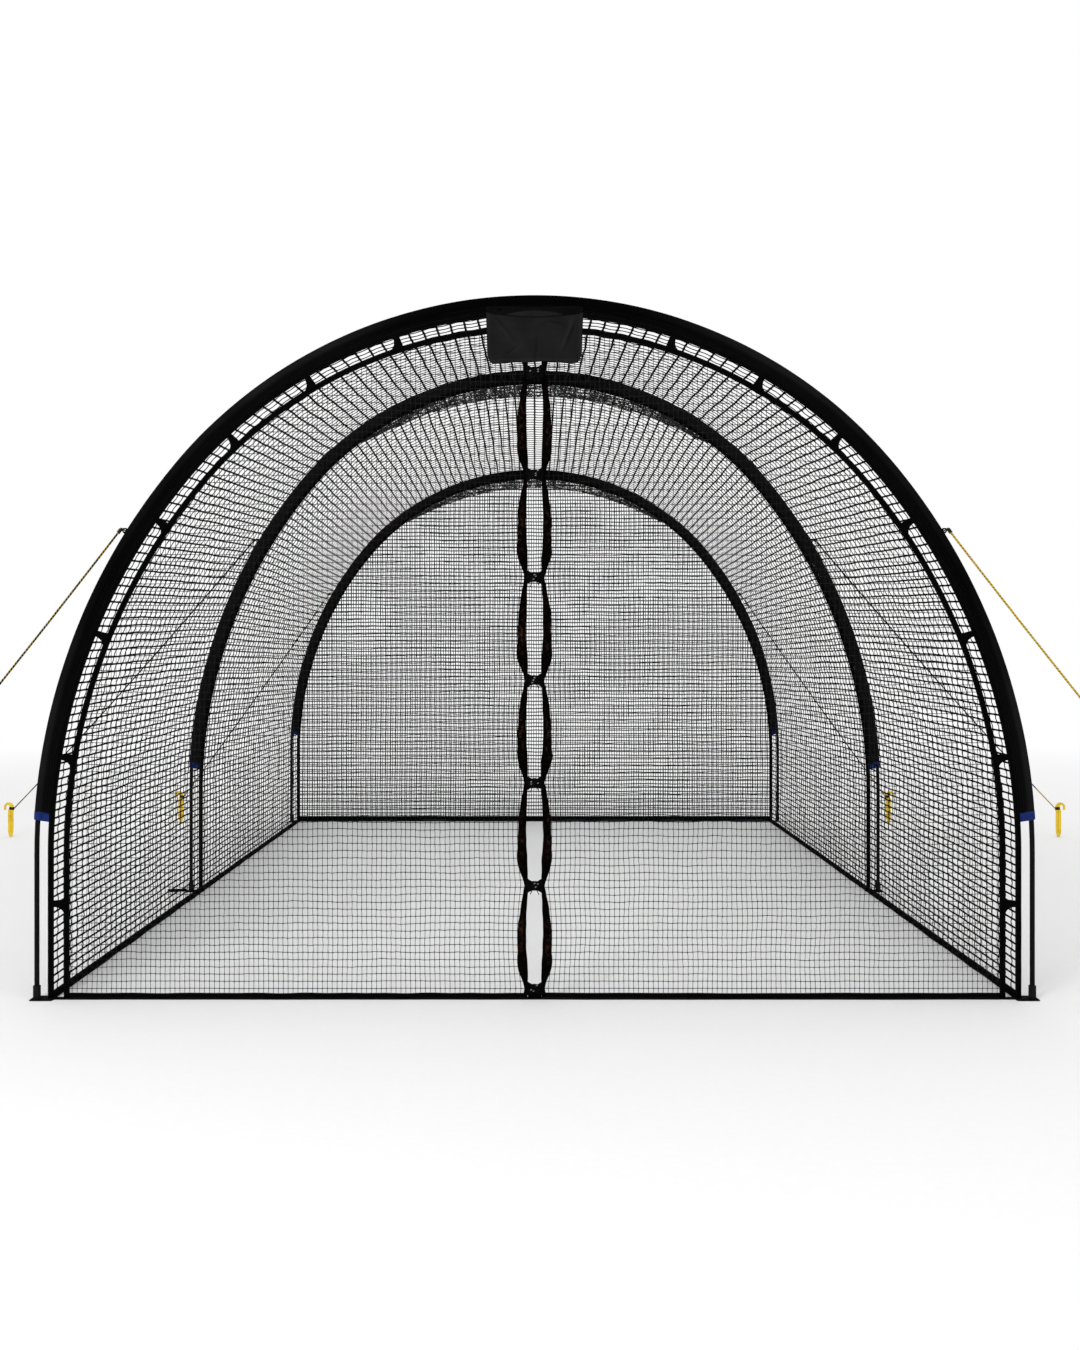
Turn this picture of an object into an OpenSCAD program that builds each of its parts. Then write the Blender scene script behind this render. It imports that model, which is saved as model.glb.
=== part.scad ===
// Tunnel practice net: three arched bows, netting all round and a tied slit door in front.
// Millimetres, +Z up, ground at z = 0, origin under the middle, front towards -Y.

/* [Frame] */
// Width between the left and right pole lines
frame_w = 3648; // [2600:1:4800]
// Distance from the front bow to the rear bow
frame_l = 5000; // [4000:1:6500]
// Distance from the front bow to the middle bow
mid_from_front = 2140; // [1500:1:3000]
// Height of the pole line at the front crown
front_crown = 2565; // [2100:1:3200]
// Height of the pole line at the middle crown
mid_crown = 2752; // [2200:1:3400]
// Height of the pole line at the rear crown
rear_crown = 2628; // [2100:1:3200]
// Height where the legs start to curve
spring_z = 530; // [350:1:640]
// Angle where the side curve turns into the crown curve
turn = 40; // [34:1:46]

/* [Poles] */
// Outside diameter of a pole
pole_d = 18; // [12:0.5:25]
// Bore of a pole
pole_bore = 12; // [8:0.5:18]
// Length of a joint pin
pin_l = 70; // [40:1:90]
// Running room between a joint pin and the pole's bore
pin_clear = 0.15; // [0.1:0.05:0.4]
// Outside diameter of a foot cap
cap_d = 27; // [22:0.5:40]
// Height of a foot cap
cap_h = 45; // [25:1:80]
// Floor thickness of a foot cap
cap_floor = 5; // [2:0.5:10]

/* [Sleeves] */
// Fabric thickness round the pole
sleeve_t = 1.5; // [1:0.1:3]
// Room between the pole and its sleeve
sleeve_clear = 0.5; // [0.2:0.1:0.8]
// Width of the flat skirt, from the pole line to the webbing
skirt_w = 40; // [25:1:60]
// Thickness of the flat skirt
skirt_t = 2.4; // [1.5:0.1:5]
// Height of the sleeve's lower end
cuff_z = 688; // [655:1:900]
// Length of a cuff
cuff_l = 32; // [15:1:60]
// How much thicker than the sleeve a cuff is, each side
cuff_t = 1; // [0.5:0.1:3]

/* [Webbing] */
// Width of the edge webbing
webbing_w = 22; // [15:1:40]
// Thickness of the edge webbing
webbing_t = 4; // [2:0.5:6]
// Open gap between the edge webbing and the front panel's band
band_gap = 36; // [20:1:60]
// Width of the front panel's band
band_w = 22; // [15:1:40]
// Thickness of the front panel's band
band_t = 3; // [2:0.5:5]
// Thickness of a tab
tab_t = 2; // [1:0.5:4]
// Half length of a tab along the band
tab_half = 32; // [15:1:50]
// Half length of a tab at its waist
tab_waist = 11; // [5:1:14]
// Angle of the lowest tab on the curve
tab_first = 9.5; // [5:0.5:14]
// Angle from one tab to the next
tab_step = 12.5; // [8:0.1:14]
// Number of tabs on each curve
tab_count = 6; // [3:1:6]
// Height of the tab on each leg
leg_tab_z = 348; // [150:1:348]

/* [Ground straps] */
// Width of a ground strap
strap_w = 30; // [20:1:60]
// Thickness of a ground strap
strap_t = 3; // [2:0.5:6]
// Depth of a corner patch
patch_d = 70; // [50:1:120]

/* [Netting] */
// Target size of the net's gaps
net_pitch = 235; // [180:1:320]
// Width of a net bar
net_bar = 4; // [2:0.5:8]
// Thickness of a net bar
net_t = 2.5; // [1.5:0.5:5]
// Room between a net and what it is sewn to
sew_gap = 0.2; // [0.1:0.05:0.4]
// Strips of netting on each side curve
side_strips = 3; // [2:1:4]
// Strips of netting from each side curve to the crown
crown_strips = 3; // [2:1:4]
// Gaps across a strip
strip_cols = 2; // [1:1:3]
// Gaps along a strip of the front bay
front_bay_rows = 4; // [2:1:8]
// Gaps along a strip of the rear bay
rear_bay_rows = 5; // [2:1:8]
// Depth of the gathered net under a crown
gather_h = 75; // [40:1:110]
// Angle from the crown to the end of the gathered net
gather_half = 32; // [28:1:40]

/* [Door] */
// Reach of the door's fold line from the slit, at the ground
door_reach = 900; // [500:1:1200]
// Reach of the fold line from the slit, at the top
fold_top_x = 45; // [42:1:80]
// Height of the door's lower edge
door_bottom = 10; // [6:1:40]
// Half width of the slit at a tie
slit_at_tie = 24; // [15:1:28]
// Half width of the slit between ties
slit_between = 31; // [20:1:31]
// Width of a door band at a tie
door_band_at_tie = 12.5; // [12:0.5:20]
// Width of a door band between ties
door_band_between = 31; // [18:1:45]
// Thickness of a door band
door_band_t = 3; // [2:0.5:5]
// Height of the lowest tie
tie_first = 38; // [36:1:80]
// Ties between the lowest one and the top one
tie_count = 5; // [3:1:7]
// Length of a tie's wrap
tie_l = 66; // [60:1:80]
// Width of a tie's wrap
tie_w = 13; // [8:1:16]
// Thickness of a tie
tie_t = 8; // [4:0.5:12]
// Slant of a tie's wraps
tie_slant = 32; // [20:1:40]

/* [Banner] */
// Width of the banner
banner_w = 356; // [200:1:600]
// Drop of the banner
banner_h = 209; // [120:1:230]
// Thickness of the banner
banner_t = 3; // [2:0.5:6]
// Radius of the banner's lower corners
banner_r = 34; // [5:1:60]
// Room between the banner and the webbing behind it
banner_clear = 0.3; // [0.2:0.1:0.8]

/* [Guy lines] */
// Angle of the guy tabs on the front bow
front_guy_angle = 32; // [20:1:39]
// Angle of the guy tabs on the middle bow
mid_guy_angle = 31; // [20:1:39]
// Angle of the guy tabs on the rear bow
rear_guy_angle = 30; // [20:1:39]
// Length of a guy tab
guy_tab_l = 16; // [14:1:60]
// Width of a guy tab
guy_tab_w = 24; // [16:1:50]
// Thickness of a guy tab
guy_tab_t = 3; // [2:0.5:6]
// Eye of a guy tab
guy_eye_d = 9; // [6:0.5:10]
// Diameter of a guy rope
rope_d = 8; // [4:0.5:8]
// Reach of the front pegs from the middle
front_peg_x = 2770; // [2000:1:3400]
// Reach of the middle pegs from the middle
mid_peg_x = 3600; // [2400:1:3800]
// Distance of the middle pegs behind the middle of the part
mid_peg_y = 1670; // [800:1:1900]
// Reach of the rear pegs from the middle
rear_peg_x = 2630; // [2000:1:3400]
// Distance of the rear pegs in front of the rear bow
rear_peg_back = 100; // [0:1:300]

/* [Pegs] */
// Width of a peg's blade
peg_w = 34; // [20:1:60]
// Height of a peg's shoulder
peg_shoulder = 178; // [120:1:220]
// Length of a peg's taper
peg_taper = 36; // [20:1:80]
// Width of a peg's blunt tip
peg_tip = 14; // [4:1:16]
// Thickness of a peg
peg_t = 12; // [6:1:20]
// Depth of a peg's stiffening rib
peg_rib = 26; // [14:1:40]
// Thickness of the rib
peg_rib_t = 6; // [3:0.5:10]
// Outside radius of a peg's hook
hook_r = 32; // [24:1:45]
// Inside radius of a peg's hook
hook_bore = 14; // [6:1:16]
// Shift of the hook's inside towards its lip
hook_shift = 6; // [0:1:10]
// Drop of the hook's lip
hook_lip = 20; // [8:1:30]

/* [Hidden] */
$fn = 40;
arc_fn = 360;

// The three bows, from front to rear
front = 0;
middle = 1;
rear = 2;
bow_y = [-frame_l / 2, -frame_l / 2 + mid_from_front, frame_l / 2];
bow_crown = [front_crown, mid_crown, rear_crown];
guy_angle = [front_guy_angle, mid_guy_angle, rear_guy_angle];
half_w = frame_w / 2;

// Each bow is a straight leg, a side curve and a crown curve that share one tangent at the turn
function curve_step(b) = (bow_crown[b] - spring_z - half_w) / (sin(turn) + cos(turn) - 1);
function side_r(b) = half_w + curve_step(b) * cos(turn);
function crown_r(b) = side_r(b) - curve_step(b);
function side_cx(b) = half_w - side_r(b);
function crown_cz(b) = spring_z + curve_step(b) * sin(turn);

// Point of the right half, by its angle and its distance inside the pole line
function bow_at(b, a, inside) = a < turn
    ? [side_cx(b) + (side_r(b) - inside) * cos(a), spring_z + (side_r(b) - inside) * sin(a)]
    : [(crown_r(b) - inside) * cos(a), crown_cz(b) + (crown_r(b) - inside) * sin(a)];
// Half width at a height, and height at a half width
function turn_z(b, inside) = spring_z + (side_r(b) - inside) * sin(turn);
function width_at(b, z, inside) = z <= spring_z ? half_w - inside
    : z <= turn_z(b, inside) ? side_cx(b) + sqrt(pow(side_r(b) - inside, 2) - pow(z - spring_z, 2))
    : sqrt(pow(crown_r(b) - inside, 2) - pow(z - crown_cz(b), 2));
function height_at(b, x, inside) = x <= (crown_r(b) - inside) * cos(turn)
    ? crown_cz(b) + sqrt(pow(crown_r(b) - inside, 2) - x * x)
    : spring_z + sqrt(pow(side_r(b) - inside, 2) - pow(x - side_cx(b), 2));
// Angle on the side curve at a height
function angle_at(b, z) = asin((z - spring_z) / side_r(b));
// Angle that a length takes on a curve
function arc_deg(l, r) = l / r * 180 / PI;

// Places across a bow, measured inwards from the pole line
sleeve_r = pole_d / 2 + sleeve_clear + sleeve_t;
webbing_out = skirt_w + sew_gap;
webbing_in = webbing_out + webbing_w;
webbing_mid = webbing_out + webbing_w / 2;
band_out = webbing_in + band_gap;
band_in = band_out + band_w;
band_mid = band_out + band_w / 2;

// Pole joints: one just inside the sleeve, one on the side curve, one at the turn and one at the crown
leg_joint_up = 60;
leg_joint_z = cuff_z + leg_joint_up;
side_joint_share = 0.58;
side_joint = side_joint_share * turn;
end_gap = 0.3;
function pole_joints(b) = [angle_at(b, leg_joint_z), side_joint, turn, 90];
// A straight pin in a curved bore needs room for the bow of the curve
function pin_d(b) = pole_bore - 2 * pin_clear - pin_l * pin_l / 4 / min(side_r(b), crown_r(b));

// Heights of the door, its ties and the banner
banner_drop_in = 25;
banner_top = front_crown - banner_drop_in;
banner_low = banner_top - banner_h;
tie_half_h = (tie_l * sin(tie_slant) + tie_w * cos(tie_slant)) / 2 + tie_w / 2;
tie_room = 5;
top_tie_z = banner_low - tie_half_h - tie_room;
door_top = top_tie_z - tie_half_h - tie_room;
tie_step = (top_tie_z - tie_first) / (tie_count + 1);
slit_edge = (slit_at_tie + door_band_at_tie + slit_between) / 2;
petal_steps = 8;
fold_gap = 0.2;
// the flap's top rises a little as it swings past the bands above it
swing_room = 8;
net_low = strap_t + 5;

// Depths of the front layers, measured forwards from the bow
net_front = -band_t / 2 - sew_gap;
tie_back = door_band_t / 2 + sew_gap;
banner_back = webbing_t / 2 + banner_clear;

// Guy rope routes on the right, from tab to peg
front_route = [[1514, -2500, 1723], [1602, -2500, 1609], [1690, -2500, 1496], [1778, -2500, 1383],
    [1866, -2500, 1272], [1954, -2500, 1161], [2042, -2500, 1050], [2130, -2500, 941],
    [2218, -2500, 832], [2306, -2500, 724], [2394, -2500, 617], [2482, -2500, 510],
    [2570, -2500, 404], [2658, -2500, 299], [2747.5, -2500, 195]];
mid_route = [[1484, -360, 1869.5], [1634, -215, 1744], [1783.5, -70, 1619], [1933, 75, 1495],
    [2082.5, 220, 1372], [2232, 365, 1250], [2381.5, 510, 1129], [2531, 655, 1008],
    [2680.5, 800, 889], [2830, 945, 771], [2979.5, 1090, 654], [3129, 1235, 538],
    [3278.5, 1380, 422], [3428, 1525, 308], [3577.5, 1670, 195]];
rear_route = [[1538.5, 2500, 1715], [1615, 2493, 1603], [1691, 2486, 1491], [1768, 2479, 1380],
    [1844, 2471, 1269], [1920, 2464, 1159], [1997, 2457, 1050], [2073, 2450, 941],
    [2149, 2443, 833], [2226, 2436, 725], [2302, 2429, 618], [2378, 2421, 511],
    [2455, 2414, 405], [2531, 2407, 300], [2607.3, 2400, 195]];
rope_sides = 8;

// Both sides of the part
module both_sides() {
    children();
    mirror([1, 0, 0]) children();
}

// A profile swept over part of the right half of a bow, its X outwards and its Y forwards
module bow_arc(b, from, to) {
    if (from < turn)
        translate([side_cx(b), bow_y[b], spring_z])
            rotate([90, 0, 0])
                rotate_extrude(start = from, angle = min(to, turn) - from, $fn = arc_fn)
                    translate([side_r(b), 0]) children();
    if (to > turn)
        translate([0, bow_y[b], crown_cz(b)])
            rotate([90, 0, 0])
                rotate_extrude(start = max(from, turn), angle = to - max(from, turn), $fn = arc_fn)
                    translate([crown_r(b), 0]) children();
}

// A profile swept down a straight right leg
module bow_leg(b, low) {
    translate([half_w, bow_y[b], low])
        linear_extrude(spring_z - low)
            mirror([0, 1]) children();
}

// A profile swept over a whole bow from an angle to the same angle, in three lengths sewn at the turns
module over_the_bow(b, from) {
    seam = arc_deg(sew_gap, min(side_r(b), crown_r(b)));
    both_sides() bow_arc(b, from, turn) children();
    bow_arc(b, turn + seam, 180 - turn - seam) children();
}

// The same from ground to ground
module ground_to_ground(b, low) {
    both_sides() bow_leg(b, low) children();
    over_the_bow(b, 0) children();
}

// A flat plate on a bow's face, drawn with X outwards from the pole line
module bow_plate(b, a, forward, t) {
    translate([side_cx(b) * (a < turn ? 1 : 0), bow_y[b] - forward, a < turn ? spring_z : crown_cz(b)])
        rotate([90, 0, 0])
            rotate([0, 0, a])
                translate([a < turn ? side_r(b) : crown_r(b), 0, 0])
                    linear_extrude(t) children();
}

module pole_ring() {
    difference() {
        circle(d = pole_d);
        circle(d = pole_bore);
    }
}

module leg_poles(b) {
    up = angle_at(b, leg_joint_z);
    color("#171819") both_sides() {
        bow_leg(b, strap_t + cap_floor) pole_ring();
        bow_arc(b, 0, up - arc_deg(end_gap / 2, side_r(b))) pole_ring();
    }
}

module bow_poles(b) {
    joints = pole_joints(b);
    gap = arc_deg(end_gap / 2, min(side_r(b), crown_r(b)));
    color("#1c1d1f") both_sides()
        for (i = [0:2])
            bow_arc(b, joints[i] + gap, joints[i + 1] - gap) pole_ring();
}

// Straight pins that join the pole sections end to end
module pole_pin(b, a) {
    p = bow_at(b, a, 0);
    translate([p[0], bow_y[b], p[1]])
        rotate([0, -a, 0]) cylinder(d = pin_d(b), h = pin_l, center = true);
}

module pole_pins(b) {
    color("silver") {
        both_sides()
            for (i = [0:2])
                pole_pin(b, pole_joints(b)[i]);
        pole_pin(b, 90);
    }
}

module foot_caps() {
    color("#0d0d0d") both_sides()
        for (y = bow_y)
            translate([half_w, y, strap_t])
                difference() {
                    cylinder(d = cap_d, h = cap_h);
                    translate([0, 0, cap_floor]) cylinder(d = pole_d + 2 * pin_clear, h = cap_h);
                }
}

// Tube round the pole with a flat skirt on its inner side
module sleeve_section(extra) {
    difference() {
        union() {
            circle(r = sleeve_r + extra);
            translate([-skirt_w, -skirt_t / 2 - extra]) square([skirt_w, skirt_t + 2 * extra]);
        }
        circle(r = sleeve_r - sleeve_t);
    }
}

module sleeve(b) {
    color("#141415") over_the_bow(b, angle_at(b, cuff_z)) sleeve_section(0);
}

module sleeve_cuffs() {
    color("#1d2f8a") both_sides()
        for (b = [front, middle, rear])
            bow_arc(b, angle_at(b, cuff_z - cuff_l), angle_at(b, cuff_z - sew_gap))
                sleeve_section(cuff_t);
}

module edge_webbing(b) {
    color("#060606") ground_to_ground(b, strap_t)
        translate([-webbing_in, -webbing_t / 2]) square([webbing_w, webbing_t]);
}

module front_panel_band() {
    color("#080808") ground_to_ground(front, strap_t)
        translate([-band_in, -band_t / 2]) square([band_w, band_t]);
}

// Flared tab from the edge webbing to the front panel's band
module tab_outline() {
    top = -webbing_mid;
    low = -band_mid;
    polygon([[top, tab_waist], [-webbing_in, tab_waist], [-band_out, tab_half], [low, tab_half],
        [low, -tab_half], [-band_out, -tab_half], [-webbing_in, -tab_waist], [top, -tab_waist]]);
}

module band_tabs() {
    forward = max(webbing_t, band_t) / 2 + sew_gap;
    color("#0a0a0a") both_sides() {
        for (i = [0:tab_count - 1])
            bow_plate(front, tab_first + i * tab_step, forward, tab_t) tab_outline();
        translate([half_w, bow_y[front] - forward, leg_tab_z])
            rotate([90, 0, 0]) linear_extrude(tab_t) tab_outline();
    }
}

// Fold line of the right door flap
function fold_x(z) = fold_top_x + (door_reach - fold_top_x) * (door_top - z) / (door_top - door_bottom);
function fold_z(x) = door_top - (x - fold_top_x) * (door_top - door_bottom) / (door_reach - fold_top_x);
door_rows = round((door_top - door_bottom) / net_pitch);
function door_row(i) = door_bottom + (i + 0.5) * (door_top - door_bottom) / (door_rows + 0.5);

module row_bar(z, from, to) {
    translate([from, z - net_bar / 2]) square([to - from, net_bar]);
}

module column_bar(x, from, to) {
    translate([x - net_bar / 2, from]) square([net_bar, to - from]);
}

// Slanted bar along the fold line, from one offset to another
module fold_bar(from, to) {
    polygon([[fold_x(door_top) + from, door_top], [fold_x(door_top) + to, door_top],
        [fold_x(door_bottom) + to, door_bottom], [fold_x(door_bottom) + from, door_bottom]]);
}

// Upright net in the front plane, drawn with X to the right and Y upwards
module front_plane() {
    translate([0, bow_y[front] - net_front, 0])
        rotate([90, 0, 0])
            mirror([0, 0, 1]) linear_extrude(net_t) children();
}

// Fixed net of the right half, from the door's fold line to the band
module front_net() {
    last = width_at(front, spring_z, band_mid);
    cols = round(last / net_pitch);
    front_plane() {
        fold_bar(fold_gap, fold_gap + net_bar);
        for (i = [0:door_rows - 1])
            row_bar(door_row(i), fold_x(door_row(i)) + fold_gap + net_bar / 2,
                width_at(front, door_row(i), band_mid));
        row_bar(net_low + net_bar / 2, door_reach + fold_gap, last);
        row_bar(door_top + net_bar / 2 + fold_gap, slit_edge, width_at(front, door_top, band_mid));
        column_bar(slit_edge, door_top + fold_gap, height_at(front, slit_edge, band_mid));
        for (i = [1:cols - 1]) {
            x = i * last / cols;
            foot = x < door_reach ? fold_z(x - fold_gap - net_bar) : net_low;
            column_bar(x, foot, height_at(front, x, band_mid));
        }
    }
}

// Net of the right door flap, from the slit to the fold line
module door_net() {
    cols = round(door_reach / net_pitch);
    front_plane() {
        fold_bar(-fold_gap - net_bar, -fold_gap);
        column_bar(slit_edge, door_bottom, door_top);
        row_bar(door_bottom + net_bar / 2, slit_edge, door_reach - fold_gap - net_bar);
        row_bar(door_top - net_bar / 2, slit_edge, fold_top_x - fold_gap);
        for (i = [0:door_rows - 1])
            row_bar(door_row(i), slit_edge, fold_x(door_row(i)) - fold_gap - net_bar / 2);
        for (i = [1:cols - 1]) {
            x = i * door_reach / cols;
            column_bar(x, door_bottom, fold_z(x + fold_gap + net_bar));
        }
    }
}

module front_net_right() {
    color("#26282b") front_net();
}

module front_net_left() {
    color("#26282b") mirror([1, 0, 0]) front_net();
}

module door_net_right() {
    color("#2a2c30") door_net();
}

module door_net_left() {
    color("#2a2c30") mirror([1, 0, 0]) door_net();
}

// A door band swells between ties, as a gathered tape does
function swell(z) = abs(sin(180 * (z - tie_first) / tie_step));
function slit_half(z) = slit_at_tie + (slit_between - slit_at_tie) * swell(z);
function band_width(z) = door_band_at_tie + (door_band_between - door_band_at_tie) * swell(z);

module door_band(from, to) {
    steps = ceil((to - from) / tie_step * petal_steps);
    zs = [for (i = [0:steps]) from + (to - from) * i / steps];
    translate([0, bow_y[front] + door_band_t / 2, 0])
        rotate([90, 0, 0])
            linear_extrude(door_band_t)
                polygon(concat([for (z = zs) [slit_half(z), z]],
                    [for (i = [steps:-1:0]) [slit_half(zs[i]) + band_width(zs[i]), zs[i]]]));
}

module door_band_right() {
    color("#120c0a") door_band(door_bottom, door_top - fold_gap);
}

module door_band_left() {
    color("#120c0a") mirror([1, 0, 0]) door_band(door_bottom, door_top - fold_gap);
}

module slit_top_bands() {
    top = height_at(front, slit_between + door_band_between, band_in) - sew_gap;
    color("#120c0a") both_sides() door_band(door_top + swing_room, top);
}

// Two slanted wraps with a knot between them
module tie(z) {
    translate([0, bow_y[front] - tie_back, z])
        rotate([90, 0, 0])
            linear_extrude(tie_t) {
                for (s = [-1, 1])
                    translate([0, s * tie_w / 2])
                        rotate([0, 0, tie_slant]) square([tie_l, tie_w], center = true);
                square([slit_at_tie, 2 * tie_w], center = true);
            }
}

module top_tie() {
    color("#050505") tie(top_tie_z);
}

module door_ties() {
    color("#050505")
        for (i = [0:tie_count])
            tie(tie_first + i * tie_step);
}

module banner() {
    color("#17181a")
        translate([0, bow_y[front] - banner_back, 0])
            rotate([90, 0, 0])
                linear_extrude(banner_t) {
                    translate([-banner_w / 2, banner_low + banner_r])
                        square([banner_w, banner_h - banner_r]);
                    translate([-banner_w / 2 + banner_r, banner_low])
                        square([banner_w - 2 * banner_r, banner_h]);
                    for (s = [-1, 1])
                        translate([s * (banner_w / 2 - banner_r), banner_low + banner_r])
                            circle(r = banner_r);
                }
}

// Flat net that closes the rear bow
module rear_net() {
    low_w = width_at(rear, spring_z, webbing_mid);
    top_z = height_at(rear, 0, webbing_mid);
    cols = round(low_w / net_pitch);
    rows = round((top_z - net_low) / net_pitch);
    color("#26282b")
        translate([0, bow_y[rear] + webbing_t / 2 + sew_gap + net_t, 0])
            rotate([90, 0, 0])
                linear_extrude(net_t) {
                    for (i = [-cols + 1:cols - 1]) {
                        x = i * low_w / cols;
                        column_bar(x, net_low, height_at(rear, abs(x), webbing_mid));
                    }
                    row_bar(net_low + net_bar / 2, -low_w, low_w);
                    for (i = [1:rows - 1]) {
                        z = net_low + i * (top_z - net_low) / rows;
                        w = width_at(rear, z, webbing_mid);
                        row_bar(z, -w, w);
                    }
                }
}

// Flat four-sided net with its gaps as holes: a and b are its near and far edges
function mix(p, q, f) = p + (q - p) * f;
function strip_u(a, b, f, g) = mix(mix(a[0], b[0], g), mix(a[1], b[1], g), f);
function gap_corners(a, b, l, rows, i, j) = let (
    side = net_bar / 2,
    near = j * l / rows + (j == 0 ? net_bar : side),
    far = (j + 1) * l / rows - (j == rows - 1 ? net_bar : side),
    from = i / strip_cols,
    to = (i + 1) / strip_cols,
    left = i == 0 ? net_bar : side,
    right = i == strip_cols - 1 ? net_bar : side)
    [[strip_u(a, b, from, near / l) + left, near], [strip_u(a, b, to, near / l) - right, near],
        [strip_u(a, b, to, far / l) - right, far], [strip_u(a, b, from, far / l) + left, far]];

module net_strip(a, b, l, rows) {
    gaps = [for (i = [0:strip_cols - 1]) for (j = [0:rows - 1]) gap_corners(a, b, l, rows, i, j)];
    loops = concat([[[a[0], 0], [a[1], 0], [b[1], l], [b[0], l]]], gaps);
    polygon([for (loop = loops) for (p = loop) p],
        [for (k = [0:len(loops) - 1]) [for (c = [0:3]) 4 * k + c]]);
}

// Strip of netting between the same two stations of two bows, near and far
module bay_strip(near_y, far_y, p0, p1, q0, q1, rows) {
    edge_gap = 2 * sew_gap;
    slope = atan2(p1[1] - p0[1], p1[0] - p0[0]);
    along = [cos(slope), sin(slope)];
    across = [-sin(slope), cos(slope)];
    shift = (q0 - p0) * along;
    rise = (q0 - p0) * across;
    depth = far_y - near_y;
    translate([p0[0], near_y, p0[1]])
        rotate([0, -slope, 0])
            rotate([atan2(rise, depth), 0, 0])
                translate([0, 0, -net_t / 2])
                    linear_extrude(net_t)
                        net_strip([edge_gap, norm(p1 - p0) - edge_gap],
                            [shift + edge_gap, shift + norm(q1 - q0) - edge_gap],
                            norm([rise, depth]), rows);
}

// Tunnel netting between two bows, as flat strips from leg to crown
module bay_net(b0, b1, rows) {
    near_y = bow_y[b0] + webbing_t / 2 + sew_gap;
    far_y = bow_y[b1] - webbing_t / 2 - sew_gap;
    stations = concat([for (i = [0:side_strips]) i * turn / side_strips],
        [for (i = [1:crown_strips]) turn + i * (90 - turn) / crown_strips]);
    leg_x = half_w - webbing_mid;
    color("#2a2d31") both_sides() {
        bay_strip(near_y, far_y, [leg_x, net_low], [leg_x, spring_z], [leg_x, net_low],
            [leg_x, spring_z], rows);
        for (i = [0:len(stations) - 2])
            bay_strip(near_y, far_y,
                bow_at(b0, stations[i], webbing_mid), bow_at(b0, stations[i + 1], webbing_mid),
                bow_at(b1, stations[i], webbing_mid), bow_at(b1, stations[i + 1], webbing_mid), rows);
    }
}

module front_bay_net() {
    bay_net(front, middle, front_bay_rows);
}

module rear_bay_net() {
    bay_net(middle, rear, rear_bay_rows);
}

// Crescent of spare net that hangs gathered under a crown, as thick as the webbing above it
module crown_gather(b) {
    tip_trim = 1;
    r = crown_r(b) - webbing_in - sew_gap;
    drop = (2 * r * gather_h - gather_h * gather_h) / (2 * (r * (1 - cos(gather_half)) - gather_h));
    color("#5c5f63")
        translate([0, bow_y[b] + webbing_t / 2, crown_cz(b)])
            rotate([90, 0, 0])
                linear_extrude(webbing_t, $fn = arc_fn)
                    difference() {
                        circle(r = r);
                        translate([0, -drop]) circle(r = r + drop - gather_h);
                        translate([-2 * r, -2 * r]) square([4 * r, 2 * r + r * cos(gather_half + tip_trim)]);
                    }
}

// Straps on the ground between the corner patches
patch_rim = 5;
patch_out = cap_d / 2 + patch_rim;
patch_in = webbing_in + patch_rim;

module cross_strap(b) {
    reach = half_w - patch_in - sew_gap;
    color("#0a0a0b") translate([-reach, bow_y[b] - strap_w / 2, 0]) cube([2 * reach, strap_w, strap_t]);
}

module side_strap() {
    x = half_w - webbing_mid - strap_w / 2;
    color("#0a0a0b")
        for (b = [front, middle]) {
            from = bow_y[b] + patch_d / 2 + sew_gap;
            to = bow_y[b + 1] - patch_d / 2 - sew_gap;
            translate([x, from, 0]) cube([strap_w, to - from, strap_t]);
        }
}

module right_ground_strap() {
    side_strap();
}

module left_ground_strap() {
    mirror([1, 0, 0]) side_strap();
}

// Patches under the pole feet, where the straps meet
module corner_patches() {
    color("#101011") both_sides()
        for (y = bow_y)
            translate([half_w - patch_in, y - patch_d / 2, 0])
                cube([patch_in + patch_out, patch_d, strap_t]);
}

module guy_tabs() {
    foot = sleeve_r + sew_gap;
    color("#0b0b0c") both_sides()
        for (b = [front, middle, rear])
            bow_plate(b, guy_angle[b], -guy_tab_t / 2, guy_tab_t)
                difference() {
                    translate([foot, -guy_tab_w / 2]) square([guy_tab_l, guy_tab_w]);
                    translate([foot + guy_tab_l - guy_eye_d, 0]) circle(d = guy_eye_d);
                }
}

// A rope is one tube swept along its route
function way(p, i) = let (n = len(p) - 1, d = p[min(i + 1, n)] - p[max(i - 1, 0)]) d / norm(d);
function rope_ring(p, i) = let (
    t = way(p, i),
    u = cross(t, [0, 0, 1]) / norm(cross(t, [0, 0, 1])),
    v = cross(u, t))
    [for (k = [0:rope_sides - 1])
        p[i] + rope_d / 2 * (u * cos(360 * k / rope_sides) + v * sin(360 * k / rope_sides))];

module rope(p) {
    n = len(p);
    s = rope_sides;
    sides = [for (i = [0:n - 2]) for (k = [0:s - 1]) for (f = [0, 1])
        let (a = i * s + k, b = i * s + (k + 1) % s)
        f == 0 ? [a, b, b + s] : [a, b + s, a + s]];
    near = [for (k = [1:s - 2]) [0, k + 1, k]];
    far = [for (k = [1:s - 2]) [(n - 1) * s, (n - 1) * s + k, (n - 1) * s + k + 1]];
    color("#e0b020")
        polyhedron([for (i = [0:n - 1]) for (q = rope_ring(p, i)) q], concat(sides, near, far));
}

module right_rope(p) {
    rope(p);
}

module left_rope(p) {
    mirror([1, 0, 0]) rope(p);
}

// Peg drawn with X away from the cage and Y upwards
neck_proud = 2;
hook_rise = 27;
hook_x = hook_r - peg_w / 2 - neck_proud;
hook_z = peg_shoulder + hook_rise;
bore_x = hook_x + hook_shift;
lip_w = hook_r - hook_shift - hook_bore;

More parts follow.
